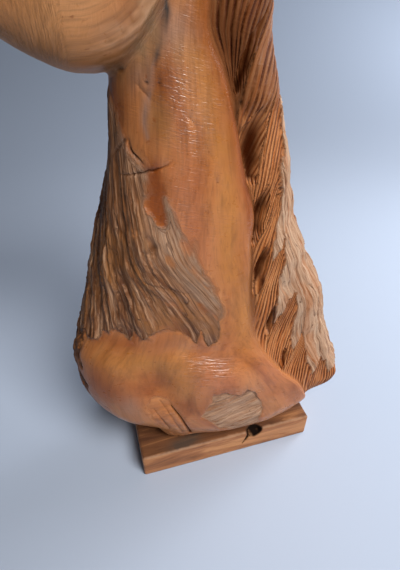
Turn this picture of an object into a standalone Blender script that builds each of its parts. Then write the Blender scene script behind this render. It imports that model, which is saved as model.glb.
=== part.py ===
"""Horse head sculpture: one carved piece of root wood standing on a rectangular plinth.

Metres, +Z up. The origin is the centre of the plinth's underside. The horse faces -X,
and its near side, the one with the broad weathered patch on the throat, faces -Y.
The carving is drawn as a carver squares up a block: on a grid of GRID_SQUARES squares
from the plinth's top to the ear tips, so every free form below is given in squares.
"""

import math

import bmesh
import bpy
import numpy as np

# Driving dimensions of the plinth
PLINTH_LENGTH = 0.250
PLINTH_WIDTH = 0.160
PLINTH_THICKNESS = 0.040
PLINTH_EDGE_ROUND = 0.0015
# Knot hole in the plinth's near top edge: distance from the right end, width, depths
KNOT_FROM_RIGHT_END = 0.084
KNOT_WIDTH = 0.0145
KNOT_DEPTH_DOWN = 0.0085
KNOT_DEPTH_IN = 0.0065

# Driving dimensions of the carving
CARVING_HEIGHT = 0.740
GRID_SQUARES = 74.0
SQUARE = CARVING_HEIGHT / GRID_SQUARES
SEAT_GAP = 0.0003
SEAT_HEIGHT = PLINTH_THICKNESS + SEAT_GAP

# How finely the carving is worked, in squares where it is a length
BLANK_GRAIN = 0.32
CARVED_GRAIN = 0.26
SMOOTHING_PASSES = 6
CARVING_TRIANGLES = 9100
RING_POINTS = 72
RINGS_PER_SQUARE = 1.6

# Trunk of the carving, root flare and neck: horizontal sections, in squares
# height, throat side (-X), crest side (+X), near side (-Y), far side (+Y), squareness
TRUNK_SECTIONS = (
    (-2.0, -7.2, 8.0, -4.6, 4.2, 2.1),
    (0.0, -8.6, 10.0, -6.0, 5.2, 2.1),
    (1.6, -10.2, 13.4, -7.9, 6.2, 2.05),
    (3.4, -12.2, 16.8, -9.0, 6.9, 2.0),
    (5.4, -15.2, 18.6, -9.4, 7.2, 2.0),
    (8.0, -17.5, 18.4, -9.3, 7.2, 2.05),
    (12.0, -18.5, 17.2, -8.6, 6.9, 2.1),
    (16.0, -18.5, 15.8, -7.5, 6.5, 2.1),
    (20.0, -16.9, 14.2, -6.9, 6.2, 2.1),
    (25.0, -15.2, 11.8, -6.4, 5.9, 2.1),
    (30.0, -13.7, 9.7, -6.0, 5.6, 2.1),
    (35.0, -12.1, 8.3, -5.6, 5.4, 2.1),
    (40.0, -10.6, 7.0, -5.2, 5.1, 2.1),
    (45.0, -10.0, 5.7, -5.0, 4.9, 2.1),
    (50.0, -9.4, 4.5, -4.9, 4.8, 2.1),
    (55.0, -8.6, 4.1, -4.8, 4.7, 2.1),
    (60.0, -8.0, 3.4, -4.6, 4.5, 2.1),
    (63.5, -7.6, 1.9, -3.9, 3.9, 2.1),
    (66.0, -6.4, -0.4, -2.4, 2.4, 2.1),
)

# Head: upright sections across it, from the poll to the nose, in squares
# x, top, bottom, half width at the eyes, half width at the jaw, squareness
HEAD_SECTIONS = (
    (1.2, 63.4, 57.6, 2.0, 2.0, 2.1),
    (-1.0, 65.3, 54.2, 4.0, 3.6, 2.2),
    (-4.0, 66.2, 50.3, 5.1, 4.6, 2.3),
    (-7.0, 66.2, 47.6, 5.7, 5.2, 2.4),
    (-10.0, 65.8, 46.5, 5.9, 5.4, 2.4),
    (-12.5, 65.2, 46.6, 5.7, 5.3, 2.4),
    (-15.0, 64.5, 47.6, 5.3, 4.9, 2.4),
    (-18.0, 63.7, 49.1, 4.7, 4.3, 2.4),
    (-21.0, 62.9, 50.6, 4.2, 3.7, 2.4),
    (-24.0, 62.2, 51.4, 3.8, 3.2, 2.4),
    (-27.0, 61.6, 51.8, 3.6, 3.0, 2.4),
    (-30.0, 61.1, 51.7, 3.7, 3.0, 2.4),
    (-33.0, 60.3, 51.2, 3.9, 3.0, 2.4),
    (-35.2, 58.9, 51.7, 3.6, 2.7, 2.3),
    (-36.6, 57.4, 52.9, 2.7, 2.0, 2.2),
    (-37.2, 56.2, 54.2, 1.3, 1.0, 2.1),
)

# One ear, from inside the skull to its tip, in squares
# share of its length, x, distance from the middle, z, half length, half width
EAR_SECTIONS = (
    (0.00, -3.0, 2.5, 63.0, 1.2, 1.2),
    (0.15, -3.2, 2.8, 65.0, 1.6, 1.4),
    (0.35, -3.4, 3.1, 67.4, 2.0, 1.6),
    (0.60, -3.2, 3.2, 69.9, 1.8, 1.4),
    (0.80, -2.8, 3.0, 72.0, 1.2, 1.0),
    (0.93, -2.4, 2.7, 73.4, 0.6, 0.5),
    (1.00, -2.2, 2.5, 74.2, 0.2, 0.2),
)
EAR_TURN = 0.55
EAR_RINGS = 18
EAR_HOLLOW = 0.72

# Mane: its edge on the near side of the neck, as height and degrees from the crest
MANE_EDGE = (
    (66.0, 60.0),
    (62.0, 74.0),
    (56.0, 88.0),
    (50.4, 88.0),
    (46.9, 78.0),
    (42.0, 70.0),
    (37.2, 66.0),
    (33.0, 62.0),
    (30.0, 65.0),
    (24.7, 72.0),
    (20.0, 75.0),
    (15.8, 71.0),
    (11.5, 64.0),
    (8.0, 58.0),
    (0.0, 50.0),
)
STRAND_SWEEP = 3.6
LOCK_PITCH = 3.15
FIRST_GROOVE = 41.7
LOCK_DEPTH = 0.62
FAR_LOCK_SHIFT = 1.1
VALLEY_DEPTH = 1.00
VALLEY_WIDTH = 0.10
# Strips carved into the natural wood below: strand, half width, share where each begins
LOWER_LOCKS = (
    (38.5, 1.5, 0.56),
    (32.0, 1.4, 0.62),
    (25.8, 1.4, 0.60),
    (20.3, 1.2, 0.68),
    (14.8, 1.0, 0.60),
)
STRIP_DEPTH = 0.42
MANE_STEP = 0.60

# Weathered patch: its edge on the near side, as height and degrees from the crest
PATCH_EDGE = (
    (44.0, 178.0),
    (41.5, 150.0),
    (40.9, 139.0),
    (38.6, 131.0),
    (36.6, 122.0),
    (35.6, 115.0),
    (34.0, 114.0),
    (32.2, 107.0),
    (31.1, 102.0),
    (27.3, 95.0),
    (24.6, 92.0),
    (18.0, 93.0),
    (10.0, 93.0),
)
# Its lower edge, as degrees from the crest and height
PATCH_FOOT = (
    (80.0, 18.4),
    (95.0, 18.6),
    (100.0, 19.1),
    (106.0, 20.4),
    (113.0, 21.3),
    (125.0, 20.8),
    (132.0, 20.5),
    (137.0, 21.6),
    (148.0, 20.0),
    (156.0, 19.5),
    (180.0, 19.8),
)
FAR_PATCH_SHIFT = 22.0
PATCH_RISE = 0.22
RIDGE_HEIGHT = 0.42

# Flake split off the lower left of the flare, as x and height down its edge
FLAKE_EDGE = ((-12.2, 13.4), (-10.5, 12.2), (-8.8, 11.3), (-7.7, 9.6), (-6.6, 6.8), (-5.6, 3.2))
FLAKE_DEPTH = 0.35

# Features of the face, as x and height
CHEEK = (-12.6, 56.2, 8.6, 8.9)
EYE = (-11.6, 61.6)
FACE_CREST = ((-14.2, 58.9), (-18.5, 57.9), (-23.5, 57.2))
NOSTRIL = (-33.8, 57.2)
MOUTH = ((-37.6, 54.8), (-34.5, 54.3), (-31.5, 54.5), (-28.8, 55.3))
MOUTH_DEPTH = 0.55
FORELOCK_PITCH = 1.3


def smooth_rows(rows, at):
    """Rows read at the places `at` of their first column, on cubics that don't overshoot."""
    table = np.asarray(rows, float)
    order = np.argsort(table[:, 0])
    place, values = table[order, 0], table[order, 1:]
    step = np.diff(place)[:, None]
    slope = np.diff(values, axis=0) / step
    product = slope[:-1] * slope[1:]
    inner = np.where(product > 0, 2 * product / (slope[:-1] + slope[1:] + 1e-12), 0)
    tangent = np.vstack([slope[:1], inner, slope[-1:]])
    at = np.clip(np.asarray(at, float), place[0], place[-1])
    i = np.clip(np.searchsorted(place, at) - 1, 0, len(place) - 2)
    width = step[i]
    t = ((at - place[i])[..., None]) / width
    return (
        (2 * t**3 - 3 * t**2 + 1) * values[i]
        + (t**3 - 2 * t**2 + t) * width * tangent[i]
        + (3 * t**2 - 2 * t**3) * values[i + 1]
        + (t**3 - t**2) * width * tangent[i + 1]
    )


def superellipse(angles, squareness):
    """Unit outline that is a circle at squareness 2 and squarer above."""
    c, s = np.cos(angles), np.sin(angles)
    power = 2.0 / squareness
    return np.sign(c) * np.abs(c) ** power, np.sign(s) * np.abs(s) ** power


def station_places(rows):
    """Places along a loft, evenly spread from its first section to its last."""
    first, last = min(r[0] for r in rows), max(r[0] for r in rows)
    return np.linspace(first, last, int((last - first) * RINGS_PER_SQUARE) + 1)


def trunk_rings():
    """Rings of the neck and root flare, each a list of points, in squares."""
    angles = np.linspace(0, 2 * math.pi, RING_POINTS, endpoint=False)
    rings = []
    for height in station_places(TRUNK_SECTIONS):
        left, right, near, far, squareness = smooth_rows(TRUNK_SECTIONS, height)
        across, deep = superellipse(angles, squareness)
        x = (left + right) / 2 + across * (right - left) / 2
        y = (near + far) / 2 + deep * (far - near) / 2
        rings.append(np.stack([x, y, np.full(RING_POINTS, height)], 1))
    return rings


def head_rings():
    """Rings of the skull, cheeks and muzzle, each a list of points, in squares."""
    angles = np.linspace(0, 2 * math.pi, RING_POINTS, endpoint=False)
    rings = []
    for x in station_places(HEAD_SECTIONS):
        top, bottom, eyes, jaw, squareness = smooth_rows(HEAD_SECTIONS, x)
        across, up = superellipse(angles, squareness)
        half = jaw + (eyes - jaw) * (up + 1) / 2
        z = (top + bottom) / 2 + up * (top - bottom) / 2
        rings.append(np.stack([np.full(RING_POINTS, x), across * half, z], 1))
    return rings


def ear_rings(side):
    """Rings of one ear, hollowed to the front, in squares. side is -1 near and 1 far."""
    angles = np.linspace(0, 2 * math.pi, RING_POINTS // 2, endpoint=False)
    rings = []
    for share in np.linspace(0, 1, EAR_RINGS):
        x, aside, z, long_half, wide_half = smooth_rows(EAR_SECTIONS, share)
        facing = -np.cos(angles + EAR_TURN)
        hollow = 1 - EAR_HOLLOW * blend(0.45, 1.0, facing) * blend(0.12, 0.30, share)
        along = x + np.cos(angles) * long_half * hollow
        out = side * (aside + np.sin(angles) * wide_half * hollow)
        rings.append(np.stack([along, out, np.full(len(angles), z)], 1))
    return rings


def blend(low, high, value):
    """Smooth rise from 0 at low to 1 at high, or the other way round if low is above high."""
    t = np.clip((value - low) / (high - low), 0, 1)
    return t * t * (3 - 2 * t)


def mound(x, y, centre, radii, turn=0.0):
    """Round swelling of height 1 at centre, with these radii, turned by `turn` degrees."""
    c, s = math.cos(math.radians(turn)), math.sin(math.radians(turn))
    dx, dy = x - centre[0], y - centre[1]
    return np.exp(-(((dx * c + dy * s) / radii[0]) ** 2) - ((dy * c - dx * s) / radii[1]) ** 2)


def waver(value, seed):
    """Slow irregular wave between -1 and 1, the same for the same value and seed."""
    first = np.sin(value + 1.7 * seed)
    second = np.sin(1.93 * value + 4.1 * seed + 1.0)
    third = np.sin(3.17 * value + 2.3 * seed + 2.0)
    return (first + second + third) / 3


def line_offset(x, y, points):
    """Distance of each place from a broken line, positive on the left of its direction."""
    best = np.full(x.shape, 1e9)
    signed = np.zeros(x.shape)
    for (ax, ay), (bx, by) in zip(points, points[1:]):
        length = math.hypot(bx - ax, by - ay)
        t = np.clip(((x - ax) * (bx - ax) + (y - ay) * (by - ay)) / length**2, 0, 1)
        away = np.hypot(x - ax - t * (bx - ax), y - ay - t * (by - ay))
        turn = (bx - ax) * (y - ay) - (by - ay) * (x - ax)
        nearer = away < best
        best = np.where(nearer, away, best)
        signed = np.where(nearer, np.where(turn >= 0, away, -away), signed)
    return signed


def trunk_place(points):
    """Degrees from the crest, height, side (-1 near, 1 far) and relative radius."""
    x, y, height = points.T
    left, right, near, far, _ = smooth_rows(TRUNK_SECTIONS, height).T
    across = (x - (left + right) / 2) / ((right - left) / 2)
    deep = (y - (near + far) / 2) / ((far - near) / 2)
    angle = np.degrees(np.arctan2(np.abs(deep), across))
    return angle, height, np.sign(deep), np.hypot(across, deep)


def head_share(points, trunk_radius):
    """1 on the head's own surface and 0 on the trunk's."""
    x, _, z = points.T
    top, bottom, eyes, jaw, _ = smooth_rows(HEAD_SECTIONS, x).T
    up = (z - (top + bottom) / 2) / ((top - bottom) / 2)
    half = jaw + (eyes - jaw) * (np.clip(up, -1, 1) + 1) / 2
    radius = np.hypot(up, points[:, 1] / half)
    radius += np.maximum(0, x - HEAD_SECTIONS[0][0])
    return blend(-0.10, 0.10, trunk_radius - radius)


def mane_place(angle, height):
    """Share of the way from the crest to the mane's edge, and the strand a place lies on."""
    edge = smooth_rows(MANE_EDGE, height)[:, 0]
    share = angle / edge
    strand = height - STRAND_SWEEP * np.log(1.03 - np.clip(share, 0, 1))
    return share, strand


def mane_relief(angle, height, side):
    """Locks, the valley beside them and the torn lower end of the mane."""
    share, strand = mane_place(angle, height)
    shift = np.where(side < 0, 0.0, FAR_LOCK_SHIFT)
    inside = blend(1.03, 0.95, share)
    upper = blend(36.0, 41.0, height)
    turns = (strand + shift - FIRST_GROOVE) / LOCK_PITCH
    groove = np.abs(2 * (turns - np.floor(turns)) - 1) ** 3
    groove *= 1 + 0.35 * np.cos(math.pi * turns)
    locks = -LOCK_DEPTH * groove * inside * upper
    strips = np.zeros_like(height)
    for centre, half_width, reach in LOWER_LOCKS:
        cut = blend(half_width, half_width * 0.5, np.abs(strand + shift - centre))
        strips = np.maximum(strips, cut * blend(reach - 0.06, reach + 0.06, share))
    strips = -STRIP_DEPTH * strips * inside * (1 - upper)
    width = VALLEY_WIDTH * (0.6 + 0.4 * blend(30.0, 46.0, height))
    valley = -VALLEY_DEPTH * np.exp(-(((share - 1.0) / width) ** 2))
    valley *= blend(17.0, 30.0, height) * (0.55 + 0.45 * blend(34.0, 46.0, height))
    step = -MANE_STEP * blend(1.02, 0.96, share) * blend(22.0, 17.0, height) * blend(2.0, 6.0, height)
    step *= blend(0.45, 0.75, share)
    return locks + strips + valley + step


def patch_share(angle, height, side):
    """1 on the natural weathered wood of the throat, 0 on the worked surface round it."""
    shift = np.where(side < 0, 0.0, FAR_PATCH_SHIFT)
    left = smooth_rows(PATCH_EDGE, height)[:, 0] + shift
    foot = smooth_rows(PATCH_FOOT, angle)[:, 0] + shift / 12
    teeth = 0.8 * waver(angle * 0.34, 3.0) + 0.4 * waver(angle * 0.9, 5.0)
    return blend(left - 2.0, left + 2.0, angle) * blend(foot - 0.4, foot + 0.4, height + teeth)


def patch_relief(angle, height, side):
    """The raised natural wood of the throat, with ridges that fan out from below the jaw."""
    fan = (180 - angle) / np.maximum(46.0 - height, 6.0)
    ridges = waver(fan * 4.4 + 0.05 * height, 1.0)
    return patch_share(angle, height, side) * (PATCH_RISE + RIDGE_HEIGHT * ridges)


def flare_relief(x, angle, height, side):
    """Swellings, hollows and the split flake of the root flare."""
    near = blend(0.2, -0.2, side)
    front = blend(25, 60, angle) * blend(176, 160, angle)
    swell = 0.9 * mound(x, height, (-0.5, 12.8), (4.8, 3.8))
    swell += 0.5 * mound(x, height, (-14.4, 15.0), (3.2, 3.8))
    swell -= 1.0 * mound(x, height, (-9.2, 13.0), (2.4, 4.2), 25)
    swell -= 0.5 * mound(x, height, (-4.6, 17.6), (3.6, 1.4), -12)
    swell -= 0.4 * mound(x, height, (0.8, 7.6), (4.0, 3.2))
    flake = blend(0.15, -0.15, line_offset(x, height, FLAKE_EDGE)) * blend(20, 10, height)
    swell -= FLAKE_DEPTH * (1 - flake) * blend(14.0, 10.0, height) * blend(-3.0, -6.0, x)
    back = 0.7 * mound(x, height, (3.0, 11.0), (5.5, 4.0))
    back -= 0.7 * mound(x, height, (-8.0, 12.0), (3.0, 4.0))
    back -= 0.5 * mound(x, height, (12.0, 9.0), (2.5, 4.5), -20)
    return front * (near * swell + (1 - near) * back)


def eye_relief(x, z):
    """Eye ball in its socket, with the brow above it."""
    away = np.hypot((x - EYE[0]) / 1.15, z - EYE[1])
    socket = -0.65 * np.exp(-((away / 1.8) ** 2))
    ball = 0.85 * np.sqrt(np.clip(1 - (away / 1.0) ** 2, 0, 1))
    brow = 0.75 * mound(x, z, (EYE[0] + 0.6, EYE[1] + 2.0), (2.4, 0.8), 10)
    lid = 0.30 * mound(x, z, (EYE[0] - 0.2, EYE[1] - 1.7), (1.9, 0.6), 8)
    return socket + ball + brow + lid


def muzzle_relief(x, z):
    """Nostril with its raised rim, lips and chin."""
    rim = 0.70 * mound(x, z, (NOSTRIL[0] + 0.3, NOSTRIL[1] + 0.3), (2.3, 1.8), 40)
    hole = -1.7 * mound(x, z, NOSTRIL, (1.25, 0.72), 50)
    lip = 0.35 * mound(x, z, (-34.0, 55.6), (2.4, 0.8))
    chin = 0.45 * mound(x, z, (-33.0, 52.2), (2.0, 1.2))
    return rim + hole + lip + chin


def head_relief(x, y, z):
    """Cheeks, eyes, crest of the face, nostrils and mouth, alike on both sides."""
    beside = blend(0.9, 2.2, np.abs(y))
    cheek = np.hypot((x - CHEEK[0]) / CHEEK[2], (z - CHEEK[1]) / CHEEK[3])
    relief = 0.40 * blend(1.10, 0.84, cheek) - 0.30 * np.exp(-(((cheek - 1.14) / 0.09) ** 2))
    relief += eye_relief(x, z) + muzzle_relief(x, z)
    relief -= 0.60 * mound(x, z, (-7.0, 62.4), (1.6, 1.3))
    crest = line_offset(x, z, FACE_CREST)
    relief += 0.50 * np.exp(-((crest / 0.8) ** 2))
    relief -= 0.50 * mound(x, z, (-24.5, 59.2), (5.5, 1.0), 12)
    relief -= 0.40 * mound(x, z, (-24.0, 54.6), (4.5, 1.2), 6)
    relief *= beside
    mouth = line_offset(x, z, MOUTH)
    relief -= MOUTH_DEPTH * np.exp(-((mouth / 0.40) ** 2)) * blend(-28.2, -29.4, x)
    _, bottom, *_ = smooth_rows(HEAD_SECTIONS, x).T
    between_jaws = blend(1.7, 0.5, np.abs(y)) * blend(-11.0, -14.0, x) * blend(-30.5, -27.0, x)
    relief -= 0.8 * between_jaws * blend(bottom + 2.0, bottom + 0.6, z)
    return relief


def forelock_relief(x, y, z):
    """Locks that fall from the poll over the forehead."""
    top = smooth_rows(HEAD_SECTIONS, x)[:, 0]
    over = blend(top - 2.6, top - 1.2, z)
    reach = -11.5 + 1.6 * np.abs(y) + 0.8 * np.cos(4.4 * y)
    over *= blend(reach - 0.5, reach + 0.7, x) * blend(3.9, 3.1, np.abs(y))
    turns = (y + 0.10 * (x + 3.0)) / FORELOCK_PITCH
    groove = np.abs(2 * (turns - np.floor(turns)) - 1) ** 2
    return over * (0.60 - 0.55 * groove)


def carving_depth(points):
    """How far each place of the blank moves outwards, in squares."""
    x, y, z = points.T
    angle, height, side, radius = trunk_place(points)
    on_head = head_share(points, radius)
    trunk = mane_relief(angle, height, side)
    trunk += patch_relief(angle, height, side)
    trunk += flare_relief(x, angle, height, side)
    face = head_relief(x, y, z) + forelock_relief(x, y, z)
    off_ears = blend(67.2, 66.2, z)
    return (trunk * (1 - on_head) + face * on_head) * off_ears


def loft(shape, rings):
    """Adds to a bmesh a closed loft through rings of equal length."""
    rows = [[shape.verts.new(p) for p in ring] for ring in rings]
    count = len(rows[0])
    for lower, upper in zip(rows, rows[1:]):
        for i in range(count):
            j = (i + 1) % count
            shape.faces.new((lower[i], lower[j], upper[j], upper[i]))
    shape.faces.new(rows[0][::-1])
    shape.faces.new(rows[-1])


def new_mesh(name, shape):
    """Mesh of a bmesh, which is freed."""
    mesh = bpy.data.meshes.new(name)
    shape.to_mesh(mesh)
    shape.free()
    return mesh


def reworked(mesh, steps):
    """The mesh after modifiers, each given as its type and its settings."""
    obj = bpy.data.objects.new("work", mesh)
    bpy.context.scene.collection.objects.link(obj)
    for kind, settings in steps:
        modifier = obj.modifiers.new(kind.lower(), kind)
        for name, value in settings.items():
            setattr(modifier, name, value)
    graph = bpy.context.evaluated_depsgraph_get()
    result = bpy.data.meshes.new_from_object(obj.evaluated_get(graph))
    bpy.data.objects.remove(obj)
    return result


def carving_mesh():
    """The whole carving in metres, standing flat on the plinth."""
    shape = bmesh.new()
    for rings in (trunk_rings(), head_rings(), ear_rings(-1), ear_rings(1)):
        loft(shape, rings)
    bmesh.ops.recalc_face_normals(shape, faces=shape.faces)
    union = ("REMESH", {"mode": "VOXEL", "voxel_size": BLANK_GRAIN})
    soften = ("SMOOTH", {"factor": 0.5, "iterations": SMOOTHING_PASSES})
    blank = reworked(new_mesh("blank", shape), (union, soften))
    count = len(blank.vertices)
    places = np.empty(count * 3)
    outward = np.empty(count * 3)
    blank.vertices.foreach_get("co", places)
    blank.vertices.foreach_get("normal", outward)
    points = places.reshape(-1, 3)
    points += outward.reshape(-1, 3) * carving_depth(points)[:, None]
    blank.vertices.foreach_set("co", points.ravel())
    knit = ("REMESH", {"mode": "VOXEL", "voxel_size": CARVED_GRAIN})
    carved = reworked(blank, (knit, ("TRIANGULATE", {})))
    ratio = CARVING_TRIANGLES / len(carved.polygons)
    reduced = reworked(carved, (("DECIMATE", {"ratio": ratio}),))
    shape = bmesh.new()
    shape.from_mesh(reduced)
    everything = shape.verts[:] + shape.edges[:] + shape.faces[:]
    bmesh.ops.bisect_plane(
        shape, geom=everything, plane_co=(0, 0, 0), plane_no=(0, 0, 1), clear_inner=True
    )
    rim = [e for e in shape.edges if e.is_boundary]
    bmesh.ops.contextual_create(shape, geom=rim)
    bmesh.ops.remove_doubles(shape, verts=shape.verts, dist=0.005)
    bmesh.ops.triangulate(shape, faces=shape.faces)
    bmesh.ops.recalc_face_normals(shape, faces=shape.faces)
    for vert in shape.verts:
        vert.co = vert.co * SQUARE
        vert.co.z += SEAT_HEIGHT
    return new_mesh("horse_head", shape)


def box_mesh(name, size, edge_round=0.0):
    """Box centred on its own origin, with its edges rounded."""
    shape = bmesh.new()
    bmesh.ops.create_cube(shape, size=1.0)
    bmesh.ops.scale(shape, vec=size, verts=shape.verts)
    if edge_round:
        bmesh.ops.bevel(
            shape,
            geom=shape.edges[:],
            offset=edge_round,
            segments=2,
            profile=0.5,
            affect="EDGES",
        )
    return new_mesh(name, shape)


def knot_mesh():
    """Rough egg that cuts the knot hole out of the plinth's edge."""
    shape = bmesh.new()
    bmesh.ops.create_icosphere(shape, subdivisions=2, radius=1.0)
    for vert in shape.verts:
        x, y, z = vert.co
        uneven = 1 + 0.10 * math.sin(5 * x + 2 * z) + 0.06 * math.cos(7 * z - 3 * y)
        vert.co.x = x * uneven * KNOT_WIDTH / 2
        vert.co.y = y * uneven * KNOT_DEPTH_IN
        vert.co.z = z * uneven * KNOT_DEPTH_DOWN
    return new_mesh("knot_cutter", shape)


def wood(name, colour, roughness):
    """Principled wood of one colour."""
    material = bpy.data.materials.new(name)
    material.use_nodes = True
    material.diffuse_color = (*colour, 1.0)
    shader = material.node_tree.nodes["Principled BSDF"]
    shader.inputs["Base Color"].default_value = (*colour, 1.0)
    shader.inputs["Roughness"].default_value = roughness
    shader.inputs["Metallic"].default_value = 0.0
    return material


def add_object(name, mesh, collection, material=None):
    """Object of this mesh in a collection, with its one material."""
    obj = bpy.data.objects.new(name, mesh)
    collection.objects.link(obj)
    if material:
        mesh.materials.append(material)
    return obj


def add_plinth(sculpture, cutters):
    """Rectangular plinth with a knot hole in its near top edge."""
    size = (PLINTH_LENGTH, PLINTH_WIDTH, PLINTH_THICKNESS)
    material = wood("plinth_wood", (0.30, 0.13, 0.05), 0.55)
    plinth = add_object("plinth", box_mesh("plinth", size, PLINTH_EDGE_ROUND), sculpture, material)
    plinth.location.z = PLINTH_THICKNESS / 2
    knot = add_object("knot_cutter", knot_mesh(), cutters)
    knot.location = (PLINTH_LENGTH / 2 - KNOT_FROM_RIGHT_END, -PLINTH_WIDTH / 2, PLINTH_THICKNESS)
    knot.hide_render = True
    knot.display_type = "WIRE"
    cut = plinth.modifiers.new("knot hole", "BOOLEAN")
    cut.operation = "DIFFERENCE"
    cut.solver = "EXACT"
    cut.object = knot


def main():
    for obj in list(bpy.data.objects):
        bpy.data.objects.remove(obj)
    sculpture = bpy.data.collections.new("horse head sculpture")
    cutters = bpy.data.collections.new("cutters")
    for collection in (sculpture, cutters):
        bpy.context.scene.collection.children.link(collection)
    cutters.hide_render = True
    root_wood = wood("carved_root_wood", (0.42, 0.17, 0.06), 0.42)
    add_object("horse_head", carving_mesh(), sculpture, root_wood)
    add_plinth(sculpture, cutters)


main()
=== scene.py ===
"""Looks of the horse head sculpture: root wood carved by hand, on a sawn board.

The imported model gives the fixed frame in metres. The carving's free forms are given in the
carver's squares, one to CARVED_SQUARES from the seat on the plinth to the ear tips.
"""

import logging
import math
from collections.abc import Callable
from dataclasses import dataclass
from enum import Enum

import bmesh
import bpy
import numpy as np
from mathutils import Matrix, Vector


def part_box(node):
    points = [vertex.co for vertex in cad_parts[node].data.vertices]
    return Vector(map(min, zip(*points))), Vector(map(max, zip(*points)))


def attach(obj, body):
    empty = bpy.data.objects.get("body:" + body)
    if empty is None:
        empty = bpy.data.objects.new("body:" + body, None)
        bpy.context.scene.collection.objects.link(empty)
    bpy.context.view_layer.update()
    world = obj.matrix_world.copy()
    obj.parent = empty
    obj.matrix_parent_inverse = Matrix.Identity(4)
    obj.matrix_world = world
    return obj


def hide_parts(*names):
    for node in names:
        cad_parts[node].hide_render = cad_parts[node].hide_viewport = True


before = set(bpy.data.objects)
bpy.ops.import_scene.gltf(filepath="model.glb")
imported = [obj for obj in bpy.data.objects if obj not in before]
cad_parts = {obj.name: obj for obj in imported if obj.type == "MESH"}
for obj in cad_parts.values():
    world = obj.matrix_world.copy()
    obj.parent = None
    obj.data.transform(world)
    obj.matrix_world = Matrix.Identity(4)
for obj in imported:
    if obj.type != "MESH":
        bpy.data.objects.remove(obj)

LOG = logging.getLogger("horse_head")
CARVED_SQUARES = 73.68
MILLIMETRES = 1000
Array = np.ndarray
Rows = tuple[tuple[float, ...], ...]
Pair = tuple[float, float]
Triple = tuple[float, float, float]
Colour = Triple
Socket = bpy.types.NodeSocket
Feed = Socket | float | Colour


class Side(Enum):
    """The two sides of the horse, as the sign of Y."""

    NEAR = -1
    FAR = 1


def blend(low: float | Array, high: float | Array, value: Array) -> Array:
    """Smooth rise from 0 to 1.

    Args:
        low: where the rise starts; above high it turns into a fall.
        high: where it ends.
        value: places to read it at.

    Returns:
        The rise at each place.
    """
    t = np.clip((value - low) / (high - low), 0, 1)
    return t * t * (3 - 2 * t)


def mound(x: Array, y: Array, centre: Pair, radii: Pair, turn: float = 0.0) -> Array:
    """Round swelling of height 1.

    Args:
        x, y: coordinates of each place.
        centre: middle of the swelling.
        radii: its two radii.
        turn: degrees that it is turned by.

    Returns:
        Height of the swelling at each place.
    """
    c, s = math.cos(math.radians(turn)), math.sin(math.radians(turn))
    dx, dy = x - centre[0], y - centre[1]
    return np.exp(-(((dx * c + dy * s) / radii[0]) ** 2) - ((dy * c - dx * s) / radii[1]) ** 2)


def mounds(x: Array, y: Array, rows: Rows) -> Array:
    """Several swellings and hollows together.

    Args:
        x, y: coordinates of each place.
        rows: height, centre, radii and turn of each, a hollow's height below 0.

    Returns:
        Their summed height at each place.
    """
    total = np.zeros(np.shape(x))
    for height, centre_x, centre_y, radius_x, radius_y, turn in rows:
        total = total + height * mound(x, y, (centre_x, centre_y), (radius_x, radius_y), turn)
    return total


def smooth_rows(rows: Rows, at: Array | float) -> Array:
    """Rows read between their own places on cubics that don't overshoot.

    Args:
        rows: rows whose first number is the place and the rest the values there.
        at: places to read at.

    Returns:
        The values at each place, one row for each.
    """
    table = np.asarray(rows, float)
    table = table[np.argsort(table[:, 0])]
    place, values = table[:, 0], table[:, 1:]
    step = np.diff(place)[:, None]
    slope = np.diff(values, axis=0) / step
    product = slope[:-1] * slope[1:]
    inner = np.where(product > 0, 2 * product / (slope[:-1] + slope[1:] + 1e-12), 0)
    tangent = np.vstack([slope[:1], inner, slope[-1:]])
    at = np.clip(np.asarray(at, float), place[0], place[-1])
    i = np.clip(np.searchsorted(place, at) - 1, 0, len(place) - 2)
    width = step[i]
    t = ((at - place[i])[..., None]) / width
    return (
        (2 * t**3 - 3 * t**2 + 1) * values[i]
        + (t**3 - 2 * t**2 + t) * width * tangent[i]
        + (3 * t**2 - 2 * t**3) * values[i + 1]
        + (t**3 - t**2) * width * tangent[i + 1]
    )


def scatter(i: Array, j: Array, k: Array, seed: int) -> Array:
    """Repeatable scatter of whole numbers.

    Args:
        i, j, k: whole numbers of each cell.
        seed: picks another scatter.

    Returns:
        A value between -1 and 1 for each cell.
    """
    # large odd numbers stir the bits
    n = (i * 73856093) ^ (j * 19349663) ^ (k * 83492791) ^ (seed * 2654435761)
    n = n & 0xFFFFFFFF
    n = ((n ^ (n >> 15)) * 739982445) & 0xFFFFFFFF
    n = ((n ^ (n >> 12)) * 695872825) & 0xFFFFFFFF
    return ((n >> 9) & 0xFFFF) / 32767.5 - 1.0


def noise(x: Array, y: Array, z: Array, seed: int) -> Array:
    """Smooth three-dimensional noise with cells of size 1.

    Args:
        x, y, z: coordinates of each place.
        seed: picks another noise.

    Returns:
        Values between -1 and 1.
    """
    cells = [np.floor(v).astype(np.int64) for v in (x, y, z)]
    shares = [v - c for v, c in zip((x, y, z), cells)]
    fx, fy, fz = [s * s * (3 - 2 * s) for s in shares]
    total = np.zeros(np.shape(x))
    for di in (0, 1):
        for dj in (0, 1):
            for dk in (0, 1):
                weight = (fx if di else 1 - fx) * (fy if dj else 1 - fy) * (fz if dk else 1 - fz)
                total += weight * scatter(cells[0] + di, cells[1] + dj, cells[2] + dk, seed)
    return total


def layered_noise(x: Array, y: Array, z: Array, seed: int, layers: int = 3) -> Array:
    """Noise with finer layers on it, each half as strong and twice as fine.

    Args:
        x, y, z: coordinates of each place.
        seed: picks another noise.
        layers: number of layers.

    Returns:
        Values between about -1 and 1.
    """
    total = np.zeros(np.shape(x))
    for layer in range(layers):
        fine = 2.0**layer
        total += noise(x * fine, y * fine, z * fine, seed + layer) / fine
    return total / 1.6


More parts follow.
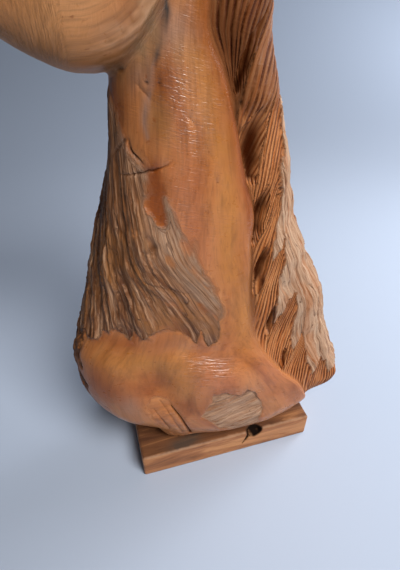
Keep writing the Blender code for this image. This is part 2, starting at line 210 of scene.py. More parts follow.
def flat_noise(x: Array, y: Array, width: float, length: float, seed: int) -> Array:
    """Layered noise on a flat chart, with cells of a given width and length."""
    return layered_noise(x / width, y / length, x * 0, seed)


def flat_ridges(x: Array, y: Array, width: float, length: float, seed: int) -> Array:
    """Sharp ridges on a flat chart, with cells of a given width and length."""
    return ridges(noise(x / width, y / length, x * 0, seed))


def ridges(value: Array) -> Array:
    """Sharp ridges where noise crosses 0, between -1 and 1."""
    return 1 - 2 * np.abs(value) ** 0.8


@dataclass(frozen=True)
class Trail:
    """Broken line on a flat chart, such as a crack."""

    points: Rows

    def offset(self, x: Array, y: Array) -> tuple[Array, Array]:
        """Distance from the line.

        Args:
            x, y: chart coordinates of each place.

        Returns:
            Distance, positive on the left of the line's direction, and the share along it.
        """
        best = np.full(x.shape, 1e9)
        signed, along = np.zeros(x.shape), np.zeros(x.shape)
        run = 0.0
        for (ax, ay), (bx, by) in zip(self.points, self.points[1:]):
            length = math.hypot(bx - ax, by - ay)
            t = np.clip(((x - ax) * (bx - ax) + (y - ay) * (by - ay)) / length**2, 0, 1)
            away = np.hypot(x - ax - t * (bx - ax), y - ay - t * (by - ay))
            turn = (bx - ax) * (y - ay) - (by - ay) * (x - ax)
            nearer = away < best
            best = np.where(nearer, away, best)
            signed = np.where(nearer, np.where(turn >= 0, away, -away), signed)
            along = np.where(nearer, run + t * length, along)
            run += length
        return signed, along / run


@dataclass(frozen=True)
class Outline:
    """Closed outline on a flat chart."""

    points: Rows

    def depth(self, x: Array, y: Array) -> Array:
        """Distance inside the outline.

        Args:
            x, y: chart coordinates of each place.

        Returns:
            Distance from the outline, positive inside and negative outside.
        """
        best = np.full(x.shape, 1e9)
        inside = np.zeros(x.shape, bool)
        for (ax, ay), (bx, by) in zip(self.points, self.points[1:] + self.points[:1]):
            square = (bx - ax) ** 2 + (by - ay) ** 2
            t = np.clip(((x - ax) * (bx - ax) + (y - ay) * (by - ay)) / square, 0, 1)
            best = np.minimum(best, np.hypot(x - ax - t * (bx - ax), y - ay - t * (by - ay)))
            rise = by - ay if by != ay else 1e-12
            crossing = ((ay > y) != (by > y)) & (x < (bx - ax) * (y - ay) / rise + ax)
            inside ^= crossing
        return np.where(inside, best, -best)


@dataclass(frozen=True)
class Place:
    """Places on the carving, in squares, with where they lie round the trunk."""

    x: Array
    y: Array
    height: Array
    angle: Array
    side: Array
    radius: Array
    arc: Array


@dataclass(frozen=True)
class Trunk:
    """Neck and root flare, lofted through horizontal sections."""

    # height, throat side, crest side, near side, far side, squareness
    sections: Rows = (
        (-2.0, -7.2, 8.0, -4.6, 4.2, 2.1),
        (0.0, -8.6, 10.0, -6.0, 5.2, 2.1),
        (1.6, -10.2, 13.4, -7.9, 6.2, 2.05),
        (3.4, -12.2, 16.8, -9.0, 6.9, 2.0),
        (5.4, -15.2, 18.6, -9.4, 7.2, 2.0),
        (8.0, -17.5, 18.4, -9.3, 7.2, 2.05),
        (12.0, -18.5, 16.5, -8.6, 6.9, 2.1),
        (16.0, -18.5, 15.2, -7.5, 6.5, 2.1),
        (20.0, -16.9, 14.2, -6.9, 6.2, 2.1),
        (25.0, -15.2, 11.8, -6.4, 5.9, 2.1),
        (30.0, -13.7, 9.3, -6.0, 5.6, 2.1),
        (35.0, -12.2, 8.0, -5.6, 5.4, 2.1),
        (40.0, -10.9, 6.7, -5.2, 5.1, 2.1),
        (45.0, -10.3, 5.4, -5.0, 4.9, 2.1),
        (50.0, -9.7, 4.2, -4.9, 4.8, 2.1),
        (55.0, -8.6, 4.1, -4.8, 4.7, 2.1),
        (60.0, -8.0, 3.4, -4.6, 4.5, 2.1),
        (63.5, -7.6, 1.9, -3.9, 3.9, 2.1),
        (66.0, -6.4, -0.4, -2.4, 2.4, 2.1),
    )
    rings_per_square: float = 1.6
    ring_points: int = 96

    def rings(self) -> list[Array]:
        """Rings of the loft.

        Returns:
            The rings from the foot up, in squares.
        """
        angles = np.linspace(0, 2 * math.pi, self.ring_points, endpoint=False)
        low, high = self.sections[0][0], self.sections[-1][0]
        rings = []
        for height in np.linspace(low, high, int((high - low) * self.rings_per_square) + 1):
            left, right, near, far, squareness = smooth_rows(self.sections, height)
            across, deep = superellipse(angles, squareness)
            x = (left + right) / 2 + across * (right - left) / 2
            y = (near + far) / 2 + deep * (far - near) / 2
            rings.append(np.stack([x, y, np.full(self.ring_points, height)], 1))
        return rings

    def place(self, points: Array) -> Place:
        """Where points lie round the trunk.

        Args:
            points: points in squares, one to a row.

        Returns:
            Their degrees and arc from the crest, their side and their relative radius.
        """
        x, y, height = points.T
        left, right, near, far, _ = smooth_rows(self.sections, height).T
        long_half, deep_half = (right - left) / 2, (far - near) / 2
        across = (x - (left + right) / 2) / long_half
        deep = (y - (near + far) / 2) / deep_half
        angle = np.degrees(np.arctan2(np.abs(deep), across))
        arc = np.radians(angle) * np.sqrt((long_half**2 + deep_half**2) / 2)
        radius = np.hypot(across, deep)
        return Place(x, y, height, angle, np.where(deep < 0, -1.0, 1.0), radius, arc)


def superellipse(angles: Array, squareness: float) -> tuple[Array, Array]:
    """Unit outline, a circle at squareness 2 and squarer above.

    Args:
        angles: angles round the outline, in radians.
        squareness: the outline's power.

    Returns:
        The two coordinates at each angle.
    """
    c, s = np.cos(angles), np.sin(angles)
    power = 2.0 / squareness
    return np.sign(c) * np.abs(c) ** power, np.sign(s) * np.abs(s) ** power


@dataclass(frozen=True)
class Head:
    """Skull, cheeks and muzzle, lofted through upright sections from the poll to the nose."""

    # x, top, bottom, half width at the eyes, half width at the jaw, squareness
    sections: Rows = (
        (1.2, 63.4, 57.6, 2.0, 2.0, 2.1),
        (-1.0, 65.3, 54.2, 4.0, 3.6, 2.2),
        (-4.0, 66.2, 50.3, 5.1, 4.6, 2.3),
        (-7.0, 66.2, 47.6, 5.7, 5.2, 2.4),
        (-10.0, 65.8, 46.5, 5.9, 5.4, 2.4),
        (-12.5, 65.2, 46.3, 5.7, 5.3, 2.4),
        (-15.0, 64.5, 47.2, 5.3, 4.9, 2.4),
        (-18.0, 63.7, 49.1, 4.7, 4.3, 2.4),
        (-21.0, 62.9, 50.6, 4.2, 3.7, 2.4),
        (-24.0, 62.2, 51.4, 3.8, 3.2, 2.4),
        (-27.0, 61.6, 51.8, 3.6, 3.0, 2.4),
        (-30.0, 61.1, 51.7, 3.7, 3.0, 2.4),
        (-33.0, 60.3, 51.2, 3.9, 3.0, 2.4),
        (-35.2, 58.9, 51.7, 3.6, 2.7, 2.3),
        (-36.6, 57.4, 52.9, 2.7, 2.0, 2.2),
        (-37.2, 56.2, 54.2, 1.3, 1.0, 2.1),
    )
    rings_per_square: float = 1.6
    ring_points: int = 96
    cheek: Pair = (-12.6, 56.2)
    cheek_radii: Pair = (8.6, 8.9)
    eye: Pair = (-11.6, 61.6)
    eye_radius: float = 1.0
    nostril: Pair = (-33.8, 57.2)
    face_crest: Trail = Trail(((-14.2, 58.9), (-18.5, 57.9), (-23.5, 57.2)))
    mouth: Trail = Trail(((-37.6, 54.8), (-34.5, 54.3), (-31.5, 54.5), (-28.8, 55.3)))
    mouth_depth: float = 0.55
    forelock_pitch: float = 1.3

    def rings(self) -> list[Array]:
        """Rings of the loft.

        Returns:
            The rings from the nose to the poll, in squares.
        """
        angles = np.linspace(0, 2 * math.pi, self.ring_points, endpoint=False)
        first, last = self.sections[0][0], self.sections[-1][0]
        rings = []
        for x in np.linspace(last, first, int((first - last) * self.rings_per_square) + 1):
            top, bottom, eyes, jaw, squareness = smooth_rows(self.sections, x)
            across, up = superellipse(angles, squareness)
            half = jaw + (eyes - jaw) * (up + 1) / 2
            z = (top + bottom) / 2 + up * (top - bottom) / 2
            rings.append(np.stack([np.full(self.ring_points, x), across * half, z], 1))
        return rings

    def share(self, place: Place) -> Array:
        """1 on the head's own surface and 0 on the trunk's.

        Args:
            place: places on the carving.

        Returns:
            The share at each place.
        """
        top, bottom, eyes, jaw, _ = smooth_rows(self.sections, place.x).T
        up = (place.height - (top + bottom) / 2) / ((top - bottom) / 2)
        half = jaw + (eyes - jaw) * (np.clip(up, -1, 1) + 1) / 2
        radius = np.hypot(up, place.y / half)
        radius += np.maximum(0, place.x - self.sections[0][0])
        return blend(-0.10, 0.10, place.radius - radius)

    def eye_relief(self, x: Array, z: Array) -> Array:
        """Eye ball in its socket, with the lids and the brow.

        Args:
            x, z: places along the head and their height.

        Returns:
            How far the surface moves out, in squares.
        """
        away = np.hypot((x - self.eye[0]) / 1.15, z - self.eye[1])
        socket = -0.65 * np.exp(-((away / 1.8) ** 2))
        ball = 0.85 * np.sqrt(np.clip(1 - (away / self.eye_radius) ** 2, 0, 1))
        lid_line = 0.16 * np.exp(-(((away - self.eye_radius * 1.22) / 0.16) ** 2))
        brow = 0.75 * mound(x, z, (self.eye[0] + 0.6, self.eye[1] + 2.0), (2.4, 0.8), 10)
        lid = 0.30 * mound(x, z, (self.eye[0] - 0.2, self.eye[1] - 1.7), (1.9, 0.6), 8)
        corner = -0.22 * mound(x, z, (self.eye[0] - 2.0, self.eye[1] - 0.5), (0.9, 0.25), 20)
        return socket + ball + lid_line + brow + lid + corner

    def muzzle_relief(self, x: Array, z: Array) -> Array:
        """Nostril with its raised rim, lips and chin.

        Args:
            x, z: places along the head and their height.

        Returns:
            How far the surface moves out, in squares.
        """
        rim_centre = (self.nostril[0] + 0.3, self.nostril[1] + 0.3)
        rim = 0.70 * mound(x, z, rim_centre, (2.3, 1.8), 40)
        hole = -1.7 * mound(x, z, self.nostril, (1.25, 0.72), 50)
        lip = 0.35 * mound(x, z, (-34.0, 55.6), (2.4, 0.8))
        chin = 0.45 * mound(x, z, (-33.0, 52.2), (2.0, 1.2))
        return rim + hole + lip + chin

    def relief(self, place: Place) -> Array:
        """Cheeks, eyes, crest of the face, nostrils, mouth and forelock.

        Args:
            place: places on the head.

        Returns:
            How far the surface moves out, in squares.
        """
        x, y, z = place.x, place.y, place.height
        cheek = self.cheek_reach(place)
        relief = 0.40 * blend(1.10, 0.84, cheek)
        relief -= 0.30 * np.exp(-(((cheek - 1.14) / 0.09) ** 2))
        relief += self.eye_relief(x, z) + self.muzzle_relief(x, z)
        relief -= 0.60 * mound(x, z, (-7.0, 62.4), (1.6, 1.3))
        crest, _ = self.face_crest.offset(x, z)
        relief += 0.50 * np.exp(-((crest / 0.8) ** 2))
        relief -= 0.50 * mound(x, z, (-24.5, 59.2), (5.5, 1.0), 12)
        relief -= 0.40 * mound(x, z, (-24.0, 54.6), (4.5, 1.2), 6)
        relief *= blend(0.9, 2.2, np.abs(y))
        mouth, _ = self.mouth.offset(x, z)
        relief -= self.mouth_depth * np.exp(-((mouth / 0.36) ** 2)) * blend(-28.2, -29.4, x)
        bottom = smooth_rows(self.sections, x)[:, 1]
        between = blend(1.7, 0.5, np.abs(y)) * blend(-11.0, -14.0, x) * blend(-30.5, -27.0, x)
        relief -= 0.8 * between * blend(bottom + 2.0, bottom + 0.6, z)
        over, groove = self.forelock(place)
        return relief + over * (0.60 - 0.55 * groove)

    def cheek_reach(self, place: Place) -> Array:
        """Distance from the cheek's middle, 1 at about its rim."""
        cheek_x, cheek_z = self.cheek_radii
        return np.hypot((place.x - self.cheek[0]) / cheek_x, (place.height - self.cheek[1]) / cheek_z)

    def cheek_flow(self, place: Place) -> tuple[Array, Array]:
        """Grain that runs round the cheek.

        Args:
            place: places on the head.

        Returns:
            The run of the grain, one to a row, and the share that follows it.
        """
        reach = self.cheek_reach(place)
        turn = np.arctan2(place.height - self.cheek[1], place.x - self.cheek[0])
        flow = np.stack([8.7 * reach, 0.4 * place.y, 5.0 * turn], 1)
        share = blend(1.5, 1.15, reach) * blend(0.2, 0.45, reach) * blend(1.5, 3.0, np.abs(place.y))
        return flow, share * blend(-17.5, -13.0, place.x)

    def growth_rings(self, place: Place, shift: float = 0.0) -> Array:
        """1 on the light growth rings behind the cheek.

        Args:
            place: places on the head.
            shift: turns that the rings are moved out by.

        Returns:
            The share at each place.
        """
        reach = self.cheek_reach(place)
        wander = 0.6 * layered_noise(place.x / 2.0, place.height / 2.0, place.y * 0, 131)
        rings = 0.5 + 0.5 * np.cos(2 * math.pi * (8.7 * reach / 0.62 + wander - shift))
        within = blend(0.66, 0.80, reach) * blend(1.06, 0.98, reach) * blend(-12.6, -10.0, place.x)
        return rings**2 * within * blend(1.5, 3.0, np.abs(place.y))

    def forelock(self, place: Place) -> tuple[Array, Array]:
        """Where the forelock lies and the grooves between its locks.

        Args:
            place: places on the head.

        Returns:
            1 on the forelock, and 1 in a groove.
        """
        x, y = place.x, place.y
        top = smooth_rows(self.sections, x)[:, 0]
        over = blend(top - 2.6, top - 1.2, place.height)
        reach = -11.5 + 1.6 * np.abs(y) + 0.8 * np.cos(4.4 * y)
        over *= blend(reach - 0.5, reach + 0.7, x) * blend(3.9, 3.1, np.abs(y))
        turns = (y + 0.10 * (x + 3.0)) / self.forelock_pitch
        return over, np.abs(2 * (turns - np.floor(turns)) - 1) ** 2


@dataclass(frozen=True)
class Ear:
    """One ear, hollowed to the front."""

    side: Side
    # share of its length, x, distance from the middle, z, half length, half width
    sections: Rows = (
        (0.00, -3.0, 2.5, 63.0, 1.2, 1.2),
        (0.15, -3.2, 2.8, 65.0, 1.6, 1.4),
        (0.35, -3.4, 3.1, 67.4, 2.0, 1.6),
        (0.60, -3.2, 3.2, 69.9, 1.8, 1.4),
        (0.80, -2.8, 3.0, 72.0, 1.2, 1.0),
        (0.93, -2.4, 2.7, 73.1, 0.6, 0.5),
        (1.00, -2.2, 2.5, 73.8, 0.2, 0.2),
    )
    turn: float = 0.55
    hollow: float = 0.72
    ring_count: int = 24
    ring_points: int = 48

    def rings(self) -> list[Array]:
        """Rings of the loft.

        Returns:
            The rings from inside the skull to the tip, in squares.
        """
        angles = np.linspace(0, 2 * math.pi, self.ring_points, endpoint=False)
        rings = []
        for share in np.linspace(0, 1, self.ring_count):
            x, aside, z, long_half, wide_half = smooth_rows(self.sections, share)
            facing = -np.cos(angles + self.turn)
            cup = blend(0.12, 0.30, np.asarray(share))
            scoop = 1 - self.hollow * blend(0.45, 1.0, facing) * cup
            along = x + np.cos(angles) * long_half * scoop
            out = self.side.value * (aside + np.sin(angles) * wide_half * scoop)
            rings.append(np.stack([along, out, np.full(len(angles), z)], 1))
        return rings


@dataclass(frozen=True)
class Lock:
    """Fan of strands between two lines that run down from the crest."""

    # height, and x of the fan's left and right line
    rows: Rows
    strands: float

    def phase(self, x: Array, height: Array) -> tuple[Array, Array]:
        """Count of the strands from the fan's left line.

        Args:
            x: along the horse.
            height: height of each place.

        Returns:
            The count, negative left of the fan, and the strands' spacing in squares.
        """
        left, right = smooth_rows(self.rows, height).T
        spacing = (right - left) / self.strands
        return (x - left) / spacing, spacing


@dataclass(frozen=True)
class Mane:
    """Locks carved down both sides of the crest, with raw wood left between the lower ones."""

    # height and degrees from the crest of the mane's edge
    edge: Rows = (
        (66.0, 60.0), (62.0, 74.0), (56.0, 88.0), (50.4, 88.0), (46.9, 78.0), (42.0, 70.0),
        (37.2, 66.0), (33.0, 62.0), (30.0, 65.0), (24.7, 72.0), (20.0, 75.0), (15.8, 71.0),
        (11.5, 64.0), (8.0, 58.0), (0.0, 50.0),
    )
    # x and height round the raw wood left along the crest
    raw_wood: Outline = Outline((
        (30.0, 44.6), (5.0, 43.9), (5.3, 42.8), (5.5, 41.4), (5.9, 39.0), (5.3, 37.6), (5.2, 36.4),
        (5.5, 34.9), (5.6, 33.4), (5.3, 31.6), (5.0, 29.9), (4.9, 28.6), (4.7, 27.2), (5.2, 27.9),
        (5.8, 28.7), (6.4, 29.4), (6.7, 28.1), (6.4, 26.5), (5.9, 24.7), (5.8, 22.8), (5.6, 20.6),
        (5.7, 18.4), (6.4, 19.4), (7.5, 21.1), (8.4, 22.3), (9.1, 20.4), (8.8, 17.9), (8.5, 15.6),
        (8.6, 13.1), (9.2, 13.6), (9.9, 14.3), (10.5, 15.0), (10.7, 13.3), (11.2, 11.2), (11.7, 9.6),
        (12.3, 8.0), (13.1, 9.0), (13.9, 10.0), (14.9, 8.3), (15.9, 6.4), (16.6, 6.9), (30.0, 7.4),
    ))
    # from the poll down: the strands above the first lock, then the locks by their lines
    locks: tuple[Lock, ...] = (
        Lock((
            (43.0, 0.0, 0.6), (46.0, -0.6, 0.8), (48.0, -1.2, 1.3), (50.0, -1.8, 2.2),
            (52.0, -1.6, 3.4), (54.0, -0.7, 4.7), (58.0, 1.9, 7.3), (66.0, 7.1, 12.5),
        ), 8.0),
        Lock((
            (37.0, -0.4, 0.9), (40.7, 0.1, 2.1), (43.2, 0.4, 3.2), (45.6, 0.8, 4.4), (47.2, 1.2, 5.1),
            (48.5, 1.8, 5.9), (49.8, 2.6, 6.8), (52.0, 4.2, 8.6), (56.0, 8.0, 12.6),
        ), 5.0),
        Lock((
            (32.0, 2.2, 3.1), (34.8, 2.4, 3.7), (36.6, 2.6, 4.3), (38.4, 2.9, 4.8), (40.0, 3.2, 5.3),
            (42.6, 3.8, 6.1), (44.5, 4.4, 6.9), (46.5, 5.4, 8.0), (50.0, 8.4, 11.2),
        ), 4.5),
        Lock((
            (21.0, 0.2, 3.0), (24.4, 1.0, 3.8), (27.3, 2.0, 4.5), (29.9, 3.0, 5.1), (31.6, 3.9, 5.4),
            (33.4, 4.6, 5.7), (34.6, 4.9, 5.8), (35.4, 9.0, 10.0),
        ), 5.0),
        Lock((
            (15.0, 1.6, 5.0), (19.0, 2.4, 5.4), (22.0, 3.1, 5.6), (24.5, 3.9, 5.9), (26.5, 4.7, 6.4),
            (27.9, 5.2, 6.8), (29.4, 6.2, 7.2), (30.2, 9.0, 10.0),
        ), 6.0),
        Lock((
            (12.0, 3.5, 6.6), (14.0, 4.4, 7.3), (16.6, 5.5, 8.3), (18.9, 6.5, 8.9), (21.0, 7.5, 9.4),
            (22.3, 8.3, 9.6), (23.1, 12.0, 13.2),
        ), 7.0),
        Lock((
            (7.0, 4.6, 8.8), (9.9, 6.6, 9.8), (11.9, 8.2, 10.4), (14.1, 9.9, 11.3), (15.0, 10.4, 11.6),
            (15.8, 13.0, 14.4),
        ), 6.0),
        Lock((
            (2.5, 12.0, 14.6), (6.1, 12.9, 15.2), (8.0, 13.3, 15.2), (10.0, 13.8, 15.2),
            (10.8, 17.0, 18.4),
        ), 5.0),
    )
    # half width, and x and height down the hollows cut between the locks
    hollows: tuple[tuple[float, Trail], ...] = (
        (1.00, Trail(((3.6, 44.2), (2.8, 42.6), (2.2, 41.0), (1.9, 39.2), (2.0, 37.0)))),
        (0.50, Trail(((4.4, 36.8), (3.7, 35.0), (3.2, 33.4), (2.8, 31.8), (2.7, 30.0)))),
        (0.42, Trail(((4.7, 30.4), (4.0, 28.6), (3.5, 26.6), (3.1, 24.0)))),
        (0.32, Trail(((5.7, 22.0), (5.4, 19.8), (5.1, 17.4)))),
        (0.36, Trail(((3.6, 51.6), (2.4, 50.2), (1.4, 48.8), (0.8, 47.2), (0.3, 45.0)))),
        (0.24, Trail(((8.2, 14.6), (7.6, 13.2), (6.8, 11.6)))),
    )
    # height, and the share, half width and depth of the valley beside the mane
    valley: Rows = (
        (66.0, 0.95, 0.12, 0.30), (58.0, 0.92, 0.14, 0.80), (52.0, 0.92, 0.13, 0.90),
        (46.0, 0.94, 0.11, 0.95), (42.0, 0.98, 0.10, 0.85), (38.0, 1.00, 0.09, 0.70),
        (30.0, 1.00, 0.075, 0.55), (22.0, 1.00, 0.06, 0.35), (16.0, 1.00, 0.05, 0.00),
    )
    # height, depth and radius of each notch in the raw crest
    notches: Rows = ((35.0, 0.35, 0.9), (31.4, 0.30, 1.0), (25.4, 0.45, 1.1), (9.4, 0.75, 1.3))
    lock_depth: float = 0.55
    far_shift: float = 1.1
    strand_depth: float = 0.34
    step: float = 0.60

    def share(self, place: Place) -> Array:
        """Share of the way from the crest to the mane's edge."""
        return place.angle / smooth_rows(self.edge, place.height)[:, 0]

    def level(self, place: Place) -> Array:
        """Height that a place is carved like: the far side's locks lie a little lower."""
        return place.height + self.far_shift * blend(0.0, 3.0, place.y)

    def strands(self, place: Place) -> tuple[Array, Array, Array]:
        """Strand that a place lies on.

        Args:
            place: places on the trunk.

        Returns:
            Count of the strands, their spacing in squares, and 1 above the first lock.
        """
        height = self.level(place)
        phase, spacing = self.locks[0].phase(place.x, height)
        above = np.ones_like(phase)
        for lock in self.locks[1:]:
            inner, width = lock.phase(place.x, height)
            inside = inner >= 0
            phase = np.where(inside, inner, phase)
            spacing = np.where(inside, width, spacing)
            above = np.where(inside, 0.0, above)
        wander = 0.16 * noise(phase * 0.7, height / 2.4, place.side, 5)
        return phase + wander, spacing, above

    def raw_depth(self, place: Place) -> Array:
        """Distance inside the raw wood, with its edge split along the fibres.

        Args:
            place: places on the trunk.

        Returns:
            The distance, negative on carved wood.
        """
        depth = self.raw_wood.depth(place.x, self.level(place))
        ragged = 0.20 * noise(place.x / 0.45, place.height / 1.5, place.side, 11)
        ragged += 0.12 * noise(place.x / 0.20, place.height / 0.8, place.side, 13)
        return depth + ragged

    def raw(self, place: Place) -> Array:
        """1 on the raw pale wood along the crest."""
        return blend(-0.05, 0.05, self.raw_depth(place)) * blend(1.03, 0.99, self.share(place))

    def cut(self, place: Place) -> Array:
        """1 where the mane is carved into locks, 0 on raw or smooth wood."""
        within = blend(1.04, 0.97, self.share(place)) * blend(1.2, 2.6, place.height)
        return within * blend(0.05, -0.05, self.raw_depth(place))

    def hollow(self, place: Place) -> Array:
        """1 in the hollows between the locks.

        Args:
            place: places on the trunk.

        Returns:
            The share at each place.
        """
        height = self.level(place)
        deep = np.zeros_like(place.height)
        for widest, line in self.hollows:
            offset, along = line.offset(place.x, height)
            opening = blend(0.0, 0.5, along)
            width = widest * (0.10 + 0.90 * opening) * (0.45 + 0.55 * blend(1.0, 0.7, along))
            wander = 0.12 * noise(place.x / 0.8, height / 1.2, place.side, 15)
            deep = np.maximum(deep, opening * np.exp(-(np.abs((offset + wander) / width) ** 3)))
        return deep

    def combed(self, place: Place) -> Array:
        """1 where single strands show, 0 in the hollows and beside the mane."""
        uncovered = self.cut(place) * (1 - 0.70 * self.hollow(place))
        return uncovered * blend(1.00, 0.93, self.share(place))

    def broad_relief(self, place: Place) -> Array:
        """Locks, the valley beside them and the step at the mane's lower edge.

        Args:
            place: places on the trunk.

        Returns:
            How far the surface moves out, in squares.
        """
        share = self.share(place)
        inside = blend(1.05, 0.96, share)
        phase, _, above = self.strands(place)
        turns = phase / 3.0
        groove = np.abs(2 * (turns - np.floor(turns)) - 1) ** 3
        relief = -self.lock_depth * groove * inside * above * blend(50.0, 54.0, place.height)
        centre, width, depth = smooth_rows(self.valley, place.height).T
        relief -= depth * np.exp(-(((share - centre) / width) ** 2))
        relief -= 1.15 * self.hollow(place) * inside
        low = blend(22.0, 17.0, place.height) * blend(2.0, 6.0, place.height)
        relief -= self.step * blend(1.02, 0.97, share) * blend(0.45, 0.75, share) * low
        near = blend(0.0, -2.0, place.y)
        relief += 1.5 * near * mound(place.angle, place.height, (26.0, 4.4), (13.0, 2.2))
        for height, depth, radius in self.notches:
            relief -= depth * mound(place.angle, place.height, (6.0, height), (26.0, radius))
        return relief

    def fine_relief(self, place: Place) -> tuple[Array, Array]:
        """Single strands in the locks and the grain of the raw crest.

        Args:
            place: places on the trunk.

        Returns:
            How far the surface moves out, in squares, and how deep in a groove it lies, 0 to 1.
        """
        cut, combed = self.cut(place), self.combed(place)
        phase, spacing, above = self.strands(place)
        cell = np.round(phase).astype(np.int64)
        weight = 0.75 + 0.25 * scatter(cell, cell * 0 + 3, (place.side > 0).astype(np.int64), 9)
        every_second = above * blend(53.0, 50.0, place.height) * (cell % 2)
        weight = weight * (1 - 0.85 * every_second)
        near_groove = 1 - np.clip(np.abs(phase - cell) * 2, 0, 1)
        strand = (1 - np.sqrt(1 - near_groove**2 * 0.999)) * weight
        depth = np.minimum(self.strand_depth, 0.55 * spacing)
        lower = blend(44.5, 42.5, place.height)
        sunk = -(0.20 + 0.12 * np.clip(-self.raw_depth(place), 0, 2.6)) * cut * lower
        sunk *= 0.35 + 0.65 * blend(1.02, 0.80, self.share(place))
        relief = sunk - 1.25 * combed * depth * strand
        lean = place.side * place.angle / 6 + 0.02 * place.height
        grain = flat_ridges(lean, place.height, 0.62, 8.0, 41)
        fine = flat_ridges(lean, place.height, 0.24, 4.0, 43)
        lumps = noise(lean / 2.2, place.height / 4.5, lean * 0, 45)
        split = np.clip(1 - np.abs(noise(lean / 1.1, place.height / 9.0, lean * 0, 47)) / 0.07, 0, 1)
        broken_off = blend(-0.2, 0.3, noise(lean / 1.6, place.height / 3.0, lean * 0, 48))
        split *= broken_off * blend(0.1, 0.6, self.raw_depth(place))
        raw = self.raw(place)
        broken = flat_noise(lean, place.height, 1.1, 1.8, 49)
        relief += raw * (0.12 * grain + 0.05 * fine + 0.26 * lumps + 0.20 * broken - 0.34 * split)
        # the finish paints shade by this: in the strand grooves, the raw crest's splits and low grain, and
        # the hollows between the locks
        deep = np.maximum(0.55 * combed * strand, raw * (0.8 * split + 0.25 * np.clip(-grain, 0, 1)))
        return relief, np.clip(np.maximum(deep, cut * self.hollow(place)), 0, 1)


